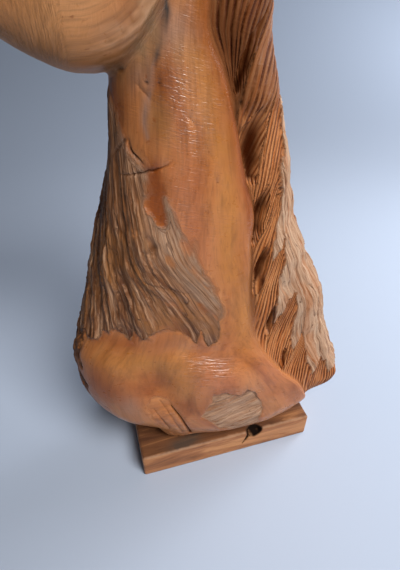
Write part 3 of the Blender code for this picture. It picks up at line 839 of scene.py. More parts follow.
@dataclass(frozen=True)
class ThroatPatch:
    """Raw weathered wood left on the throat, standing proud of the worked surface."""

    # arc and height round the patch
    outline: Outline = Outline((
        (48.0, 45.6), (20.6, 45.4), (19.7, 43.8), (19.0, 42.4), (18.5, 41.0), (17.7, 39.9),
        (17.1, 38.8), (17.4, 37.3), (18.1, 35.6), (18.0, 34.6), (17.6, 33.9), (17.1, 33.4),
        (16.8, 34.3), (16.5, 35.4), (16.3, 36.4), (16.1, 35.2), (16.2, 34.1), (16.0, 32.7),
        (15.7, 31.1), (15.8, 29.6), (16.2, 27.2), (16.7, 25.0), (17.6, 22.2), (18.9, 20.2),
        (19.9, 18.8), (20.7, 18.2), (20.6, 19.4), (20.4, 20.6), (20.9, 19.9), (21.6, 18.8),
        (21.9, 19.3), (22.0, 20.3), (22.8, 21.2), (23.7, 21.5), (24.9, 20.7), (25.8, 20.4),
        (26.3, 21.4), (27.4, 20.1), (28.0, 21.5), (29.3, 20.5), (30.3, 20.9), (31.6, 19.6),
        (33.1, 19.3), (33.9, 20.3), (35.6, 19.4), (48.0, 19.6),
    ))
    # arc and height round the channel scraped beside the patch
    channel: Outline = Outline((
        (17.0, 39.4), (17.3, 37.3), (18.0, 35.6), (17.9, 34.7), (17.5, 34.0), (17.1, 33.6),
        (16.8, 34.5), (16.5, 35.8), (16.1, 37.2), (15.9, 39.4),
    ))
    far_shift: float = 3.4
    rise: float = 0.16
    fan_arc: float = 15.0
    fan_rate: float = 0.03
    fan_height: float = 38.0

    def shifted_arc(self, place: Place) -> Array:
        """Arc from the crest, counted so that the far side's patch is smaller."""
        return place.arc - np.where(place.side < 0, 0.0, self.far_shift)

    def share(self, place: Place) -> Array:
        """1 on the raw wood and 0 off it, with an edge split along the fibres.

        Args:
            place: places on the trunk.

        Returns:
            The share of raw surface.
        """
        fan = self.fan(place)
        ragged = 0.26 * noise(fan / 0.55, place.height / 2.0, fan * 0, 51)
        ragged += 0.16 * noise(fan / 0.24, place.height / 0.9, fan * 0, 53)
        depth = self.outline.depth(self.shifted_arc(place), place.height) + ragged
        soft = 0.05 + 0.60 * blend(35.5, 39.5, place.height) + 0.25 * blend(2.6, 1.0, fan)
        return blend(-soft, soft, depth)

    def worn(self, place: Place) -> Array:
        """1 where the raw wood is worn down to orange between the fibres."""
        fan = self.fan(place)
        return blend(0.22, 0.62, flat_noise(fan, place.height, 0.55, 3.0, 55)) * blend(6.5, 3.5, fan)

    def fan(self, place: Place) -> Array:
        """Fibre that a place lies on: fibres spread downwards from below the jaw.

        Args:
            place: places on the trunk.

        Returns:
            The fibre's place across the patch, in squares at the height where the fan starts.
        """
        left, right, near, far, _ = smooth_rows(Trunk.sections, place.height).T
        half_way = math.pi * np.sqrt(((right - left) ** 2 + (far - near) ** 2) / 8)
        spread = np.exp(-self.fan_rate * (self.fan_height - place.height))
        throat = (half_way - self.fan_arc) * spread
        fan = (place.arc - self.fan_arc) * spread
        fan = np.where(place.side < 0, fan, 2 * throat - fan)
        return fan + 0.25 * noise(fan / 3.0, place.height / 6.0, fan * 0, 57)

    def relief(self, place: Place) -> tuple[Array, Array]:
        """Ridges, fibres and splits of the raw wood, and the ripples in the channel.

        Args:
            place: places on the trunk.

        Returns:
            How far the surface moves out, in squares, and how deep in a split it lies, 0 to 1.
        """
        fan, height = self.fan(place), place.height
        level = fan * 0
        share = self.share(place)
        broad = noise(fan / 1.9, height / 16.0, level, 61)
        broad = broad + 0.5 * noise(fan / 0.9, height / 9.0, level, 63)
        middle = flat_ridges(fan, height, 0.42, 5.0, 67)
        fine = flat_ridges(fan, height, 0.19, 2.6, 71)
        split = np.clip(1 - np.abs(noise(fan / 1.4, height / 9.0, level, 73)) / 0.10, 0, 1)
        split *= blend(-0.3, 0.3, noise(fan / 1.1, height / 3.0, level, 74))
        chips = flat_noise(fan, height, 0.8, 1.6, 75)
        strength = (0.35 + 0.65 * blend(41.0, 29.0, height)) * (0.30 + 0.70 * blend(1.2, 3.6, fan))
        relief = self.rise + 0.32 * broad + 0.13 * middle + 0.07 * fine - 0.26 * split + 0.16 * chips
        in_channel = blend(-0.35, 0.35, self.channel.depth(self.shifted_arc(place), height))
        in_channel *= blend(39.4, 37.2, height)
        wander = 0.25 * noise(place.arc / 0.6, height / 0.8, level, 77)
        ripple = np.sin(2 * math.pi * (height / 0.33 + wander))
        # the finish paints shade by this in the raw wood's splits and low places
        deep = np.clip(0.8 * split + 0.30 * np.clip(-middle, 0, 1) + 0.35 * np.clip(-broad, 0, 1), 0, 1)
        relief = share * strength * relief - in_channel * (0.10 + 0.012 * ripple)
        return relief, share * strength * deep


@dataclass(frozen=True)
class RootFlare:
    """Swollen root at the foot, with its hollows, raw patch, split flake and bark."""

    # x and height round the raw patch low on the near side
    raw_patch: Outline = Outline((
        (-3.1, 10.6), (-3.0, 11.7), (-1.6, 12.0), (-0.6, 11.2), (0.6, 10.6), (1.5, 11.4), (2.6, 10.2),
        (3.2, 9.0), (3.9, 7.2), (4.0, 5.6), (3.7, 4.0), (4.4, 2.4), (1.0, 2.0), (-1.6, 3.8),
        (-4.2, 7.9),
    ))
    # x and height round the flake
    flake: Outline = Outline((
        (-11.0, 10.6), (-10.2, 11.4), (-9.2, 11.3), (-8.0, 10.4), (-7.1, 8.4), (-6.3, 6.0), (-5.6, 3.2),
        (-7.4, 1.4), (-9.0, 4.5), (-10.4, 8.2),
    ))
    # half widths at both ends, and x and height along each split in the flake
    flake_splits: tuple[tuple[float, float, Trail], ...] = (
        (0.10, 0.26, Trail(((-8.0, 9.9), (-6.9, 7.6), (-6.2, 5.4), (-5.6, 3.2)))),
        (0.08, 0.06, Trail(((-9.3, 10.9), (-8.2, 8.3), (-7.3, 5.6), (-6.8, 3.6)))),
        (0.06, 0.08, Trail(((-10.2, 9.8), (-9.2, 7.4), (-8.4, 5.0)))),
    )
    # how far each swelling stands out, its x and height, radii and turn; hollows are below 0
    near_swellings: Rows = (
        (1.10, -0.8, 13.2, 4.6, 3.6, 0.0),
        (0.50, -14.4, 15.0, 3.2, 3.8, 0.0),
        (-1.00, -9.2, 13.0, 2.4, 4.2, 25.0),
        (-0.50, -4.6, 17.6, 3.6, 1.4, -12.0),
        (-0.40, 0.8, 7.6, 4.0, 3.2, 0.0),
        (0.90, -7.8, 1.8, 2.0, 2.2, -50.0),
        (0.35, -13.2, 5.8, 2.6, 1.9, -30.0),
    )
    far_swellings: Rows = (
        (0.70, 3.0, 11.0, 5.5, 4.0, 0.0),
        (-0.70, -8.0, 12.0, 3.0, 4.0, 0.0),
        (-0.50, 12.0, 9.0, 2.5, 4.5, -20.0),
    )

    def near(self, place: Place) -> Array:
        """1 on the near side of the flare and 0 beyond its front edge."""
        return blend(-3.0, -5.0, place.y)

    def broad_relief(self, place: Place) -> Array:
        """Swellings and hollows.

        Args:
            place: places on the trunk.

        Returns:
            How far the surface moves out, in squares.
        """
        off_edges = blend(25, 60, place.angle) * blend(176, 160, place.angle)
        near = mounds(place.x, place.height, self.near_swellings)
        far = mounds(place.x, place.height, self.far_swellings)
        return off_edges * np.where(place.side < 0, near, far)

    def fibres(self, place: Place) -> tuple[Array, Array]:
        """Measures across and along the leaning fibres of the raw patch, in squares."""
        x, height = place.x, place.height
        return 0.94 * height - 0.30 * x, 0.94 * x + 0.30 * height

    def ragged(self, place: Place) -> Array:
        """How far the raw patch's edge wanders, in squares."""
        return 0.35 * layered_noise(place.x / 0.9, place.height / 0.9, place.y / 4, 81)

    def patch(self, place: Place) -> Array:
        """1 inside the raw patch on either side of the carving."""
        return blend(-0.08, 0.08, self.raw_patch.depth(place.x, place.height) + self.ragged(place))

    def raw(self, place: Place) -> Array:
        """1 on the raw patch, and less on the flake."""
        flake = self.flake.depth(place.x, place.height) + 0.7 * self.ragged(place)
        return self.near(place) * np.maximum(self.patch(place), 0.45 * blend(-0.08, 0.08, flake))

    def pale(self, place: Place) -> Array:
        """Share of pale wood, which the raw patch shows."""
        return 0.78 * self.patch(place) * self.near(place)

    def bark(self, place: Place) -> Array:
        """1 on the rough dark end below the throat.

        Args:
            place: places on the trunk.

        Returns:
            The share of bark.
        """
        ragged = 9.0 * layered_noise(place.arc / 1.3, place.height / 1.6, place.side, 87)
        end = blend(158.0, 164.0, place.angle + ragged)
        return end * blend(9.5, 12.0, place.height) * blend(20.4, 19.0, place.height)

    def fine_relief(self, place: Place) -> tuple[Array, Array]:
        """Fibres of the raw patches, the flake's splits and the bark's lumps.

        Args:
            place: places on the trunk.

        Returns:
            How far the surface moves out, in squares, and how deep in a split it lies, 0 to 1.
        """
        x, height = place.x, place.height
        raw, bark = self.raw(place), self.bark(place)
        across, along_fibres = self.fibres(place)
        fibre = ridges(noise(across / 0.5, along_fibres / 4.5, place.y / 3, 91))
        lumps = layered_noise(x / 1.4, height / 1.1, place.y / 1.4, 95)
        relief = raw * (-0.16 + 0.09 * fibre + 0.14 * lumps)
        rough = layered_noise(x / 0.8, height / 1.5, place.y / 0.8, 97)
        relief += bark * (-0.12 + 0.34 * rough)
        open_split = np.zeros_like(x)
        for start, end, line in self.flake_splits:
            offset, along = line.offset(x, height)
            width = start + (end - start) * along
            opening = np.clip(1 - np.abs(offset) / width, 0, 1) * min(1.0, end / 0.16)
            open_split = np.maximum(open_split, opening)
        open_split *= self.near(place)
        relief -= 0.45 * open_split
        # the finish paints shade by this in the raw patch's low fibres, the bark's hollows and the flake's
        # splits
        deep = np.maximum(raw * np.clip(-fibre, 0, 1) * 0.35, bark * blend(0.0, -0.7, rough))
        return relief, np.maximum(open_split, deep)


@dataclass(frozen=True)
class DryingCracks:
    """Fine cracks across the near side of the neck, and the knots in it."""

    # half width, and x and height along each crack
    cracks: tuple[tuple[float, Trail], ...] = (
        (0.15, Trail(((-11.4, 38.9), (-11.0, 39.4), (-10.4, 40.2), (-10.0, 40.8), (-9.5, 41.5)))),
        (0.13, Trail(((-9.4, 41.5), (-9.4, 40.9), (-9.2, 40.4), (-8.8, 40.0), (-8.4, 39.5)))),
        (0.14, Trail(((-10.3, 38.3), (-9.3, 38.5), (-8.2, 38.8), (-7.0, 39.2), (-6.0, 39.7)))),
        (0.08, Trail(((-4.6, 43.8), (-4.1, 43.1), (-3.7, 42.4)))),
        (0.07, Trail(((-3.0, 41.2), (-2.7, 40.4), (-2.3, 39.8)))),
        (0.08, Trail(((-8.3, 46.0), (-7.8, 45.4), (-7.4, 44.9)))),
        (0.09, Trail(((-10.6, 28.2), (-9.0, 27.4), (-7.2, 26.8), (-5.4, 26.0), (-3.9, 25.6)))),
        (0.09, Trail(((-9.4, 31.0), (-8.6, 30.9), (-7.9, 30.5)))),
    )
    # x, height and radius of each knot
    knots: Rows = (
        (-9.4, 46.9, 0.30), (-7.6, 46.1, 0.17), (-6.7, 46.1, 0.14), (-1.9, 37.6, 0.13),
        (-3.1, 34.9, 0.12),
    )
    depth: float = 0.24

    def relief(self, place: Place) -> tuple[Array, Array]:
        """Grooves of the cracks and dimples of the knots.

        Args:
            place: places on the trunk.

        Returns:
            How far the surface moves out, in squares, and how deep in a crack it lies, 0 to 1.
        """
        near = blend(-1.0, -2.0, place.y)
        deep = np.zeros_like(place.x)
        wander = 0.10 * noise(place.x / 0.5, place.height / 0.5, place.y, 101)
        for width, crack in self.cracks:
            offset, along = crack.offset(place.x, place.height)
            taper = np.sin(math.pi * np.clip(along, 0.03, 0.97)) ** 0.5
            strength = taper * min(1.0, width / 0.13) ** 2
            deep = np.maximum(deep, np.clip(1 - np.abs(offset + wander) / width, 0, 1) * strength)
        for x, height, radius in self.knots:
            away = np.hypot(place.x - x, place.height - height)
            deep = np.maximum(deep, 0.8 * np.clip(1 - away / radius, 0, 1))
        # the finish paints shade by this in the cracks and the knots' dimples
        return -self.depth * near * deep, near * deep


class Tone(Enum):
    """Colours that oil, light and age gave parts of the wood."""

    GOLD = (0.510, 0.196, 0.036)
    AMBER = (0.270, 0.062, 0.009)
    ROSE = (0.500, 0.165, 0.068)
    OLIVE = (0.250, 0.100, 0.024)
    MAUVE = (0.370, 0.210, 0.150)
    BEIGE = (0.370, 0.215, 0.105)
    SLATE = (0.034, 0.036, 0.036)
    SAND = (0.600, 0.310, 0.150)
    HONEY = (0.700, 0.300, 0.100)


@dataclass(frozen=True)
class Streak:
    """Soft line of one tone, on x and height."""

    tone: Tone
    width: float
    strength: float
    trail: Trail


@dataclass(frozen=True)
class Patina:
    """Stains and streaks on the worked wood, fainter on the far side, with some painted shade under the jaw.
    """

    # strength, x, height, radii and turn of each soft round stain or patch of painted shade, in the order
    # that they lie
    stains_and_shade: tuple[tuple[Tone, Rows], ...] = (
        (Tone.GOLD, (
            (0.9, -10.4, 16.4, 4.6, 2.0, -8), (0.8, -6.2, 14.2, 2.0, 3.0, 0),
            (0.4, -15.6, 15.4, 2.2, 2.0, 0), (0.7, 1.5, 22.0, 1.6, 6.0, 0),
        )),
        (Tone.ROSE, (
            (0.8, -2.6, 14.6, 3.2, 2.8, 0), (0.6, 6.4, 13.4, 3.4, 4.0, 0),
            (0.6, 0.6, 38.6, 1.0, 4.6, 0), (0.7, -5.0, 36.4, 1.7, 4.4, 0),
            (0.5, -3.4, 30.5, 1.8, 3.0, 0),
        )),
        (Tone.AMBER, (
            (0.4, -11.2, 13.5, 2.0, 1.6, 0), (0.75, -15.4, 12.6, 3.2, 2.4, 0),
            (0.45, -16.4, 14.8, 1.8, 2.2, 0), (0.35, -8.4, 13.2, 1.2, 1.4, 0),
            (0.5, -5.7, 9.8, 1.2, 1.2, 0), (0.6, -13.0, 19.6, 3.2, 0.9, 0),
            (1.0, -6.3, 46.4, 1.1, 1.9, 0), (0.7, -9.6, 44.6, 0.9, 2.6, 0),
        )),
        # the second olive one darkens the throat under the jaw: painted shade, partly the wood's olive-brown
        # round a knot
        (Tone.OLIVE, (
            (0.8, -6.6, 43.6, 0.8, 1.9, 0), (0.8, -9.4, 46.9, 1.8, 0.9, 0),
        )),
        (Tone.HONEY, ((0.9, -14.0, 50.6, 5.2, 3.6, 0),)),
        # olive along the jaw's lower edge: painted shade, partly the wood's olive-brown
        (Tone.OLIVE, (
            (0.5, -14.6, 48.4, 4.0, 1.2, 0), (0.3, -17.5, 50.0, 2.5, 1.2, 0),
        )),
        (Tone.MAUVE, (
            (0.8, -4.9, 49.8, 1.8, 1.5, 0), (0.5, -12.8, 10.4, 1.1, 1.8, 0),
            (0.5, -8.2, 46.6, 0.7, 1.1, 0),
        )),
        (Tone.BEIGE, (
            (0.9, -7.1, 50.8, 0.75, 2.2, 12), (0.8, -7.9, 48.6, 0.9, 1.0, 0),
        )),
        (Tone.SAND, (
            (0.4, -11.8, 52.0, 2.6, 1.6, 0), (0.4, -3.4, 48.6, 1.6, 2.4, 0),
        )),
    )
    streaks: tuple[Streak, ...] = (
        Streak(Tone.GOLD, 1.15, 0.70, Trail((
            (-4.0, 55.0), (-3.0, 47.0), (-2.4, 44.7), (-1.5, 41.4), (-1.0, 37.6), (-0.8, 32.7),
            (-0.2, 24.0),
        ))),
        Streak(Tone.AMBER, 0.55, 0.75, Trail((
            (-0.6, 52.0), (0.2, 46.0), (1.0, 42.0), (1.4, 38.0), (2.0, 30.0),
        ))),
        Streak(Tone.MAUVE, 0.24, 0.85, Trail((
            (-7.4, 48.4), (-7.4, 46.3), (-7.6, 44.8), (-7.8, 43.3), (-7.7, 41.2),
        ))),
        Streak(Tone.SLATE, 0.30, 1.0, Trail((
            (-5.7, 52.6), (-5.9, 50.6), (-6.2, 49.3), (-6.4, 48.6), (-7.0, 47.9),
        ))),
        Streak(Tone.ROSE, 1.0, 0.5, Trail(((-4.6, 47.6), (-4.7, 44.8), (-4.8, 41.2)))),
    )

    def shares(self, place: Place) -> list[tuple[Tone, Array]]:
        """Each tone's share, in the order that they lie over each other.

        Args:
            place: places on the carving.

        Returns:
            The tones with their shares.
        """
        level = place.y * 0
        x = place.x + 0.40 * layered_noise(place.x / 1.5, place.height / 3.2, level, 121)
        height = place.height + 0.70 * layered_noise(place.x / 1.5, place.height / 2.6, level, 127)
        near = 0.35 + 0.65 * blend(1.0, -1.0, place.y)
        found = []
        for tone, rows in self.stains_and_shade:
            for strength, *shape in rows:
                share = mound(x, height, shape[:2], shape[2:4], shape[4])
                found.append((tone, strength * near * share))
        for streak in self.streaks:
            offset, along = streak.trail.offset(x, height)
            ends = blend(0.0, 0.12, along) * blend(1.0, 0.88, along)
            broken = blend(-0.6, 0.2, layered_noise(place.x / 0.7, place.height / 1.3, level, 133))
            share = np.exp(-((offset / streak.width) ** 2)) * ends * (0.35 + 0.65 * broken)
            found.append((streak.tone, streak.strength * near * share))
        return found

    def tint(self, shares: list[tuple[Tone, Array]]) -> tuple[Array, Array]:
        """Lays tones over each other.

        Args:
            shares: the tones with their shares.

        Returns:
            The colour at each place, one to a row, and its share.
        """
        count = len(shares[0][1])
        colour, covered = np.zeros((count, 3)), np.zeros(count)
        for tone, share in shares:
            share = np.clip(share, 0, 1)
            colour = mixed(colour, np.array(tone.value), share)
            covered = covered + (1 - covered) * share
        return colour / np.maximum(covered, 1e-6)[:, None], covered


@dataclass
class Surface:
    """What the finish reads at each vertex: shares from 0 to 1, and the run of the grain."""

    raw: Array
    pale: Array
    cut: Array
    deep: Array
    bark: Array
    tint: Array
    tinted: Array
    ripple: Array
    strand: Array
    combed: Array
    flow: Array


@dataclass
class CarvedHorse:
    """The carving: head, ears, mane, neck and root flare, cut from one root."""

    node: str
    finish: "RootWood"
    trunk: Trunk = Trunk()
    head: Head = Head()
    ears: tuple[Ear, Ear] = (Ear(Side.NEAR), Ear(Side.FAR))
    mane: Mane = Mane()
    patch: ThroatPatch = ThroatPatch()
    flare: RootFlare = RootFlare()
    cracks: DryingCracks = DryingCracks()
    patina: Patina = Patina()
    # spacing, in squares, of the meshes that it is joined on and carved on
    joined_spacing: float = 0.20
    carved_spacing: float = 0.12
    smoothing: int = 15
    most_triangles: int = 192000
    # heights between which the trunk's fine and broad forms fade out below the ears
    fine_end: Pair = (66.6, 65.6)
    broad_end: Pair = (67.2, 66.2)
    grain_width: float = 12.0
    # strength, x, height, radii and turn of each area where the scraper left ripples
    rippled: Rows = (
        (1.2, -4.9, 44.6, 1.7, 4.4, 6.0),
        (1.2, -3.6, 15.4, 2.9, 2.6, 0.0),
        (0.5, -2.6, 43.0, 1.4, 3.0, 0.0),
        (0.5, -5.4, 34.5, 2.0, 3.6, 0.0),
    )

    def on_trunk(self, place: Place) -> Array:
        """1 on the neck and root flare, 0 on the head and ears."""
        return (1 - self.head.share(place)) * blend(*self.fine_end, place.height)

    def broad_relief(self, points: Array) -> Array:
        """Forms that show from a step away.

        Args:
            points: points on the blank, in squares.

        Returns:
            How far each moves out, in squares.
        """
        place = self.trunk.place(points)
        on_head = self.head.share(place)
        trunk = self.mane.broad_relief(place) + self.flare.broad_relief(place)
        off_ears = blend(*self.broad_end, place.height)
        return (trunk * (1 - on_head) + self.head.relief(place) * on_head) * off_ears

    def fine_relief(self, points: Array) -> tuple[Array, Array]:
        """Strands, fibres, cracks and the unevenness of handwork.

        Args:
            points: points on the carving, in squares.

        Returns:
            How far each moves out, in squares, and how deep in a groove it lies, 0 to 1.
        """
        place = self.trunk.place(points)
        on_trunk = self.on_trunk(place)
        relief = np.zeros(len(points))
        deep = np.zeros(len(points))
        parts = (self.mane.fine_relief, self.patch.relief, self.flare.fine_relief, self.cracks.relief)
        for relief_of in parts:
            raised, sunk = relief_of(place)
            relief += raised
            deep = np.maximum(deep, sunk)
        over, groove = self.head.forelock(place)
        hair = ridges(noise(place.y / 0.30, place.x / 3.0, place.height / 3.0, 111))
        on_hair = over * (1 - on_trunk)
        relief = relief * on_trunk - 0.08 * on_hair * np.clip(hair, 0, 1)
        relief += 0.05 * noise(place.x / 2.6, place.y / 2.6, place.height / 3.4, 115)
        relief += 0.02 * noise(place.x / 0.9, place.y / 0.9, place.height / 1.3, 117)
        # the finish paints shade by this in the forelock's grooves
        return relief, np.maximum(deep * on_trunk, on_hair * groove)

    def shade(self, place: Place) -> Array:
        """Painted shade in the valley beside the mane, partly its darker oiled wood, and a painted shadow
        along the mane's edge.

        Args:
            place: places on the trunk.

        Returns:
            The share at each place.
        """
        share = self.mane.share(place)
        centre, width, depth = smooth_rows(self.mane.valley, place.height).T
        # painted shade in the valley, partly its darker oiled wood
        valley = 0.85 * depth * np.exp(-(((share - centre + 0.02) / (0.9 * width)) ** 2))
        # painted shadow along the mane's edge
        rim = 0.75 * np.exp(-(((share - 0.985) / 0.045) ** 2)) * blend(14.0, 24.0, place.height)
        return np.maximum(valley, rim)

    def locks_painted_shade(self, place: Place, cut: Array) -> Array:
        """Painted shade on the locks, most on the upper ones, partly their deeper colour: how much darker
        they are than the neck.

        Args:
            place: places on the trunk.
            cut: share of the carved mane.

        Returns:
            The share at each place.
        """
        _, _, above = self.mane.strands(place)
        height = place.height
        locks_painted_shade = cut * (0.60 + 0.20 * above * blend(54.0, 50.0, height))
        return locks_painted_shade * (0.2 + 0.8 * blend(41.0, 45.0, height)) * blend(31.0, 36.0, height)

    def tones(self, place: Place, on_head: Array, on_trunk: Array) -> tuple[Array, Array]:
        """Stains, some painted shade under the jaw, the dark channel and border beside the mane, and the
        rings behind the cheek.

        Args:
            place: places on the carving.
            on_head: 1 on the head.
            on_trunk: 1 on the trunk.

        Returns:
            The colour at each place, one to a row, and its share.
        """
        share = self.mane.share(place)
        channel = 0.95 * blend(-0.55, 0.15, self.patch.channel.depth(place.arc, place.height))
        border = 0.8 * blend(1.32, 1.02, share) * blend(0.9, 1.0, share)
        border = border * blend(26.0, 40.0, place.height)
        shares = self.patina.shares(place)
        shares.append((Tone.AMBER, channel * on_trunk))
        shares.append((Tone.AMBER, border * on_trunk))
        shares.append((Tone.SAND, 0.70 * self.head.growth_rings(place) * on_head))
        shares.append((Tone.OLIVE, 0.60 * self.head.growth_rings(place, 0.5) * on_head))
        return self.patina.tint(shares)

    def ripple(self, place: Place) -> Array:
        """1 where the scraper's ripples show most."""
        near = np.clip(mounds(place.x, place.height, self.rippled), 0, 1)
        return near * blend(0.0, -2.0, place.y) + 0.25 * blend(0.0, 2.0, place.y)

    def run_of_grain(self, place: Place, cut: Array, on_head: Array) -> Array:
        """Directions that the grain runs in.

        Args:
            place: places on the carving.
            cut: share of the carved mane.
            on_head: 1 on the head.

        Returns:
            Two measures across the grain and one along it for each place, one to a row.
        """
        x, height, level = place.x, place.height, place.x * 0
        left, right = smooth_rows(self.trunk.sections, height).T[:2]
        even = self.grain_width / (right - left)
        flow = np.stack([(x - (left + right) / 2) * even, place.y, height], 1)
        patch_flow = np.stack([self.patch.fan(place), level, height], 1)
        flow = mixed(flow, patch_flow, self.patch.share(place))
        crest_flow = np.stack([place.side * place.angle / 6, level, height], 1)
        flow = mixed(flow, crest_flow, self.mane.raw(place))
        across, along = self.flare.fibres(place)
        flow = mixed(flow, np.stack([across, place.y, along], 1), self.flare.raw(place))
        phase, _, _ = self.mane.strands(place)
        flow = mixed(flow, np.stack([0.4 * phase, level, height], 1), cut)
        head_flow = np.stack([height - 50, place.y, 60 - x], 1)
        head_flow = mixed(head_flow, *self.head.cheek_flow(place))
        return mixed(flow, head_flow, on_head)

    def surface(self, points: Array) -> Surface:
        """What the finish needs to know about each place.

        Args:
            points: points on the finished carving, in squares.

        Returns:
            The shares of each kind of surface and the run of the grain.
        """
        place = self.trunk.place(points)
        on_head, on_trunk = self.head.share(place), self.on_trunk(place)
        cut = self.mane.cut(place) * on_trunk
        _, deep = self.fine_relief(points)
        # painted shade: the grooves, the valley beside the mane and the locks are all darkened through deep
        deep = np.maximum(np.maximum(deep, self.shade(place) * on_trunk), self.locks_painted_shade(place, cut))
        patch, worn = self.patch.share(place), self.patch.worn(place)
        tongue = 0.55 * patch * blend(3.6, 1.6, self.patch.fan(place)) * (1 - worn)
        pale = np.maximum(self.mane.raw(place), self.flare.pale(place))
        tint, tinted = self.tones(place, on_head, on_trunk)
        return Surface(
            raw=np.maximum(patch * (1 - 0.75 * worn), 0.1 * self.flare.raw(place)) * on_trunk,
            pale=np.maximum(pale, tongue) * on_trunk,
            cut=cut,
            deep=np.clip(deep, 0, 1),
            bark=self.flare.bark(place) * on_trunk,
            tint=tint,
            tinted=tinted,
            ripple=self.ripple(place),
            strand=self.mane.strands(place)[0],
            combed=self.mane.combed(place) * on_trunk,
            flow=self.run_of_grain(place, cut, on_head),
        )

    def blank(self) -> bpy.types.Mesh:
        """Joins the lofts.

        Returns:
            One smooth closed mesh, in squares.
        """
        shape = bmesh.new()
        lofts = [self.trunk.rings(), self.head.rings()] + [ear.rings() for ear in self.ears]
        for rings in lofts:
            add_loft(shape, rings)
        bmesh.ops.recalc_face_normals(shape, faces=shape.faces)
        mesh = mesh_of("blank", shape)
        join = ("REMESH", {"mode": "VOXEL", "voxel_size": self.joined_spacing})
        soften = ("SMOOTH", {"factor": 0.5, "iterations": self.smoothing})
        return reworked(mesh, (join, soften))

    def build(self) -> bpy.types.Object:
        """Carves the blank and lays the carving out inside its node's box.

        Returns:
            The finished piece.
        """
        mesh = self.blank()
        move_out(mesh, self.broad_relief)
        mesh = reworked(mesh, (("REMESH", {"mode": "VOXEL", "voxel_size": self.carved_spacing}),))
        LOG.info("carving worked on %d faces", len(mesh.polygons))
        move_out(mesh, lambda points: self.fine_relief(points)[0])
        mesh = self.cut_foot(thinned(mesh, self.most_triangles))
        store(mesh, vars(self.surface(places_of(mesh))))
        low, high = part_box(self.node)
        square = (high.z - low.z) / CARVED_SQUARES
        mesh.transform(Matrix.Translation((0, 0, low.z)) @ Matrix.Diagonal((square, square, square, 1.0)))
        keep_inside(mesh, low, high)
        mesh.shade_smooth()
        piece = new_piece("carved_horse_head", mesh, self.finish.material())
        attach(piece, "root")
        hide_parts(self.node)
        return piece

    def cut_foot(self, mesh: bpy.types.Mesh) -> bpy.types.Mesh:
        """Cuts the foot flat where it stands on the plinth.

        Args:
            mesh: the carving in squares.

        Returns:
            The same carving with a closed flat foot.
        """
        shape = bmesh.new()
        shape.from_mesh(mesh)
        everything = shape.verts[:] + shape.edges[:] + shape.faces[:]
        seat = {"plane_co": (0, 0, 0), "plane_no": (0, 0, 1)}
        bmesh.ops.bisect_plane(shape, geom=everything, clear_inner=True, **seat)
        rim = [edge for edge in shape.edges if edge.is_boundary]
        bmesh.ops.contextual_create(shape, geom=rim)
        bmesh.ops.triangulate(shape, faces=[face for face in shape.faces if len(face.verts) > 3])
        return mesh_of("carved_horse_head", shape)


def add_loft(shape: bmesh.types.BMesh, rings: list[Array]) -> None:
    """Adds a closed loft through rings of equal length.

    Args:
        shape: mesh to add to.
        rings: the rings, each an array of points.
    """
    rows = [[shape.verts.new(point) for point in ring] for ring in rings]
    count = len(rows[0])
    for lower, upper in zip(rows, rows[1:]):
        for i in range(count):
            j = (i + 1) % count
            shape.faces.new((lower[i], lower[j], upper[j], upper[i]))
    shape.faces.new(rows[0][::-1])
    shape.faces.new(rows[-1])


def mesh_of(name: str, shape: bmesh.types.BMesh) -> bpy.types.Mesh:
    """Mesh of a bmesh, which is freed.

    Args:
        name: the mesh's name.
        shape: the bmesh.

    Returns:
        The new mesh.
    """
    mesh = bpy.data.meshes.new(name)
    shape.to_mesh(mesh)
    shape.free()
    return mesh


def mixed(first: Array, second: Array, share: Array) -> Array:
    """Rows mixed by a share of the second."""
    return first + (second - first) * share[:, None]


def places_of(mesh: bpy.types.Mesh) -> Array:
    """Places of a mesh's vertices.

    Args:
        mesh: the mesh.

    Returns:
        The places, one to a row.
    """
    places = np.empty(len(mesh.vertices) * 3)
    mesh.vertices.foreach_get("co", places)
    return places.reshape(-1, 3)


def keep_inside(mesh: bpy.types.Mesh, low: Vector, high: Vector) -> None:
    """Moves vertices that lie outside a box onto its sides.

    Args:
        mesh: mesh to change.
        low: the box's low corner.
        high: its high corner.
    """
    points = np.clip(places_of(mesh), np.array(low), np.array(high))
    mesh.vertices.foreach_set("co", points.ravel())
    mesh.update()


def move_out(mesh: bpy.types.Mesh, relief: Callable[[Array], Array]) -> None:
    """Moves a mesh's vertices along their normals.

    Args:
        mesh: mesh to change.
        relief: function that gives how far each point moves out.
    """
    points = places_of(mesh)
    outward = np.empty(len(points) * 3)
    mesh.vertices.foreach_get("normal", outward)
    points += outward.reshape(-1, 3) * relief(points)[:, None]
    mesh.vertices.foreach_set("co", points.ravel())
    mesh.update()


def store(mesh: bpy.types.Mesh, values: dict[str, Array]) -> None:
    """Stores values at a mesh's vertices as named attributes.

    Args:
        mesh: mesh to add them to.
        values: an array of numbers or of vectors for each name.
    """
    for name, numbers in values.items():
        if numbers.ndim == 2:
            layer = mesh.attributes.new(name, "FLOAT_VECTOR", "POINT")
            layer.data.foreach_set("vector", numbers.astype(np.float32).ravel())
        else:
            layer = mesh.attributes.new(name, "FLOAT", "POINT")
            layer.data.foreach_set("value", numbers.astype(np.float32))


def new_object(name: str, data: bpy.types.ID) -> bpy.types.Object:
    """Object of a mesh, light or camera, in the scene.

    Args:
        name: the object's name.
        data: its mesh, light or camera.

    Returns:
        The object.
    """
    obj = bpy.data.objects.new(name, data)
    bpy.context.scene.collection.objects.link(obj)
    return obj


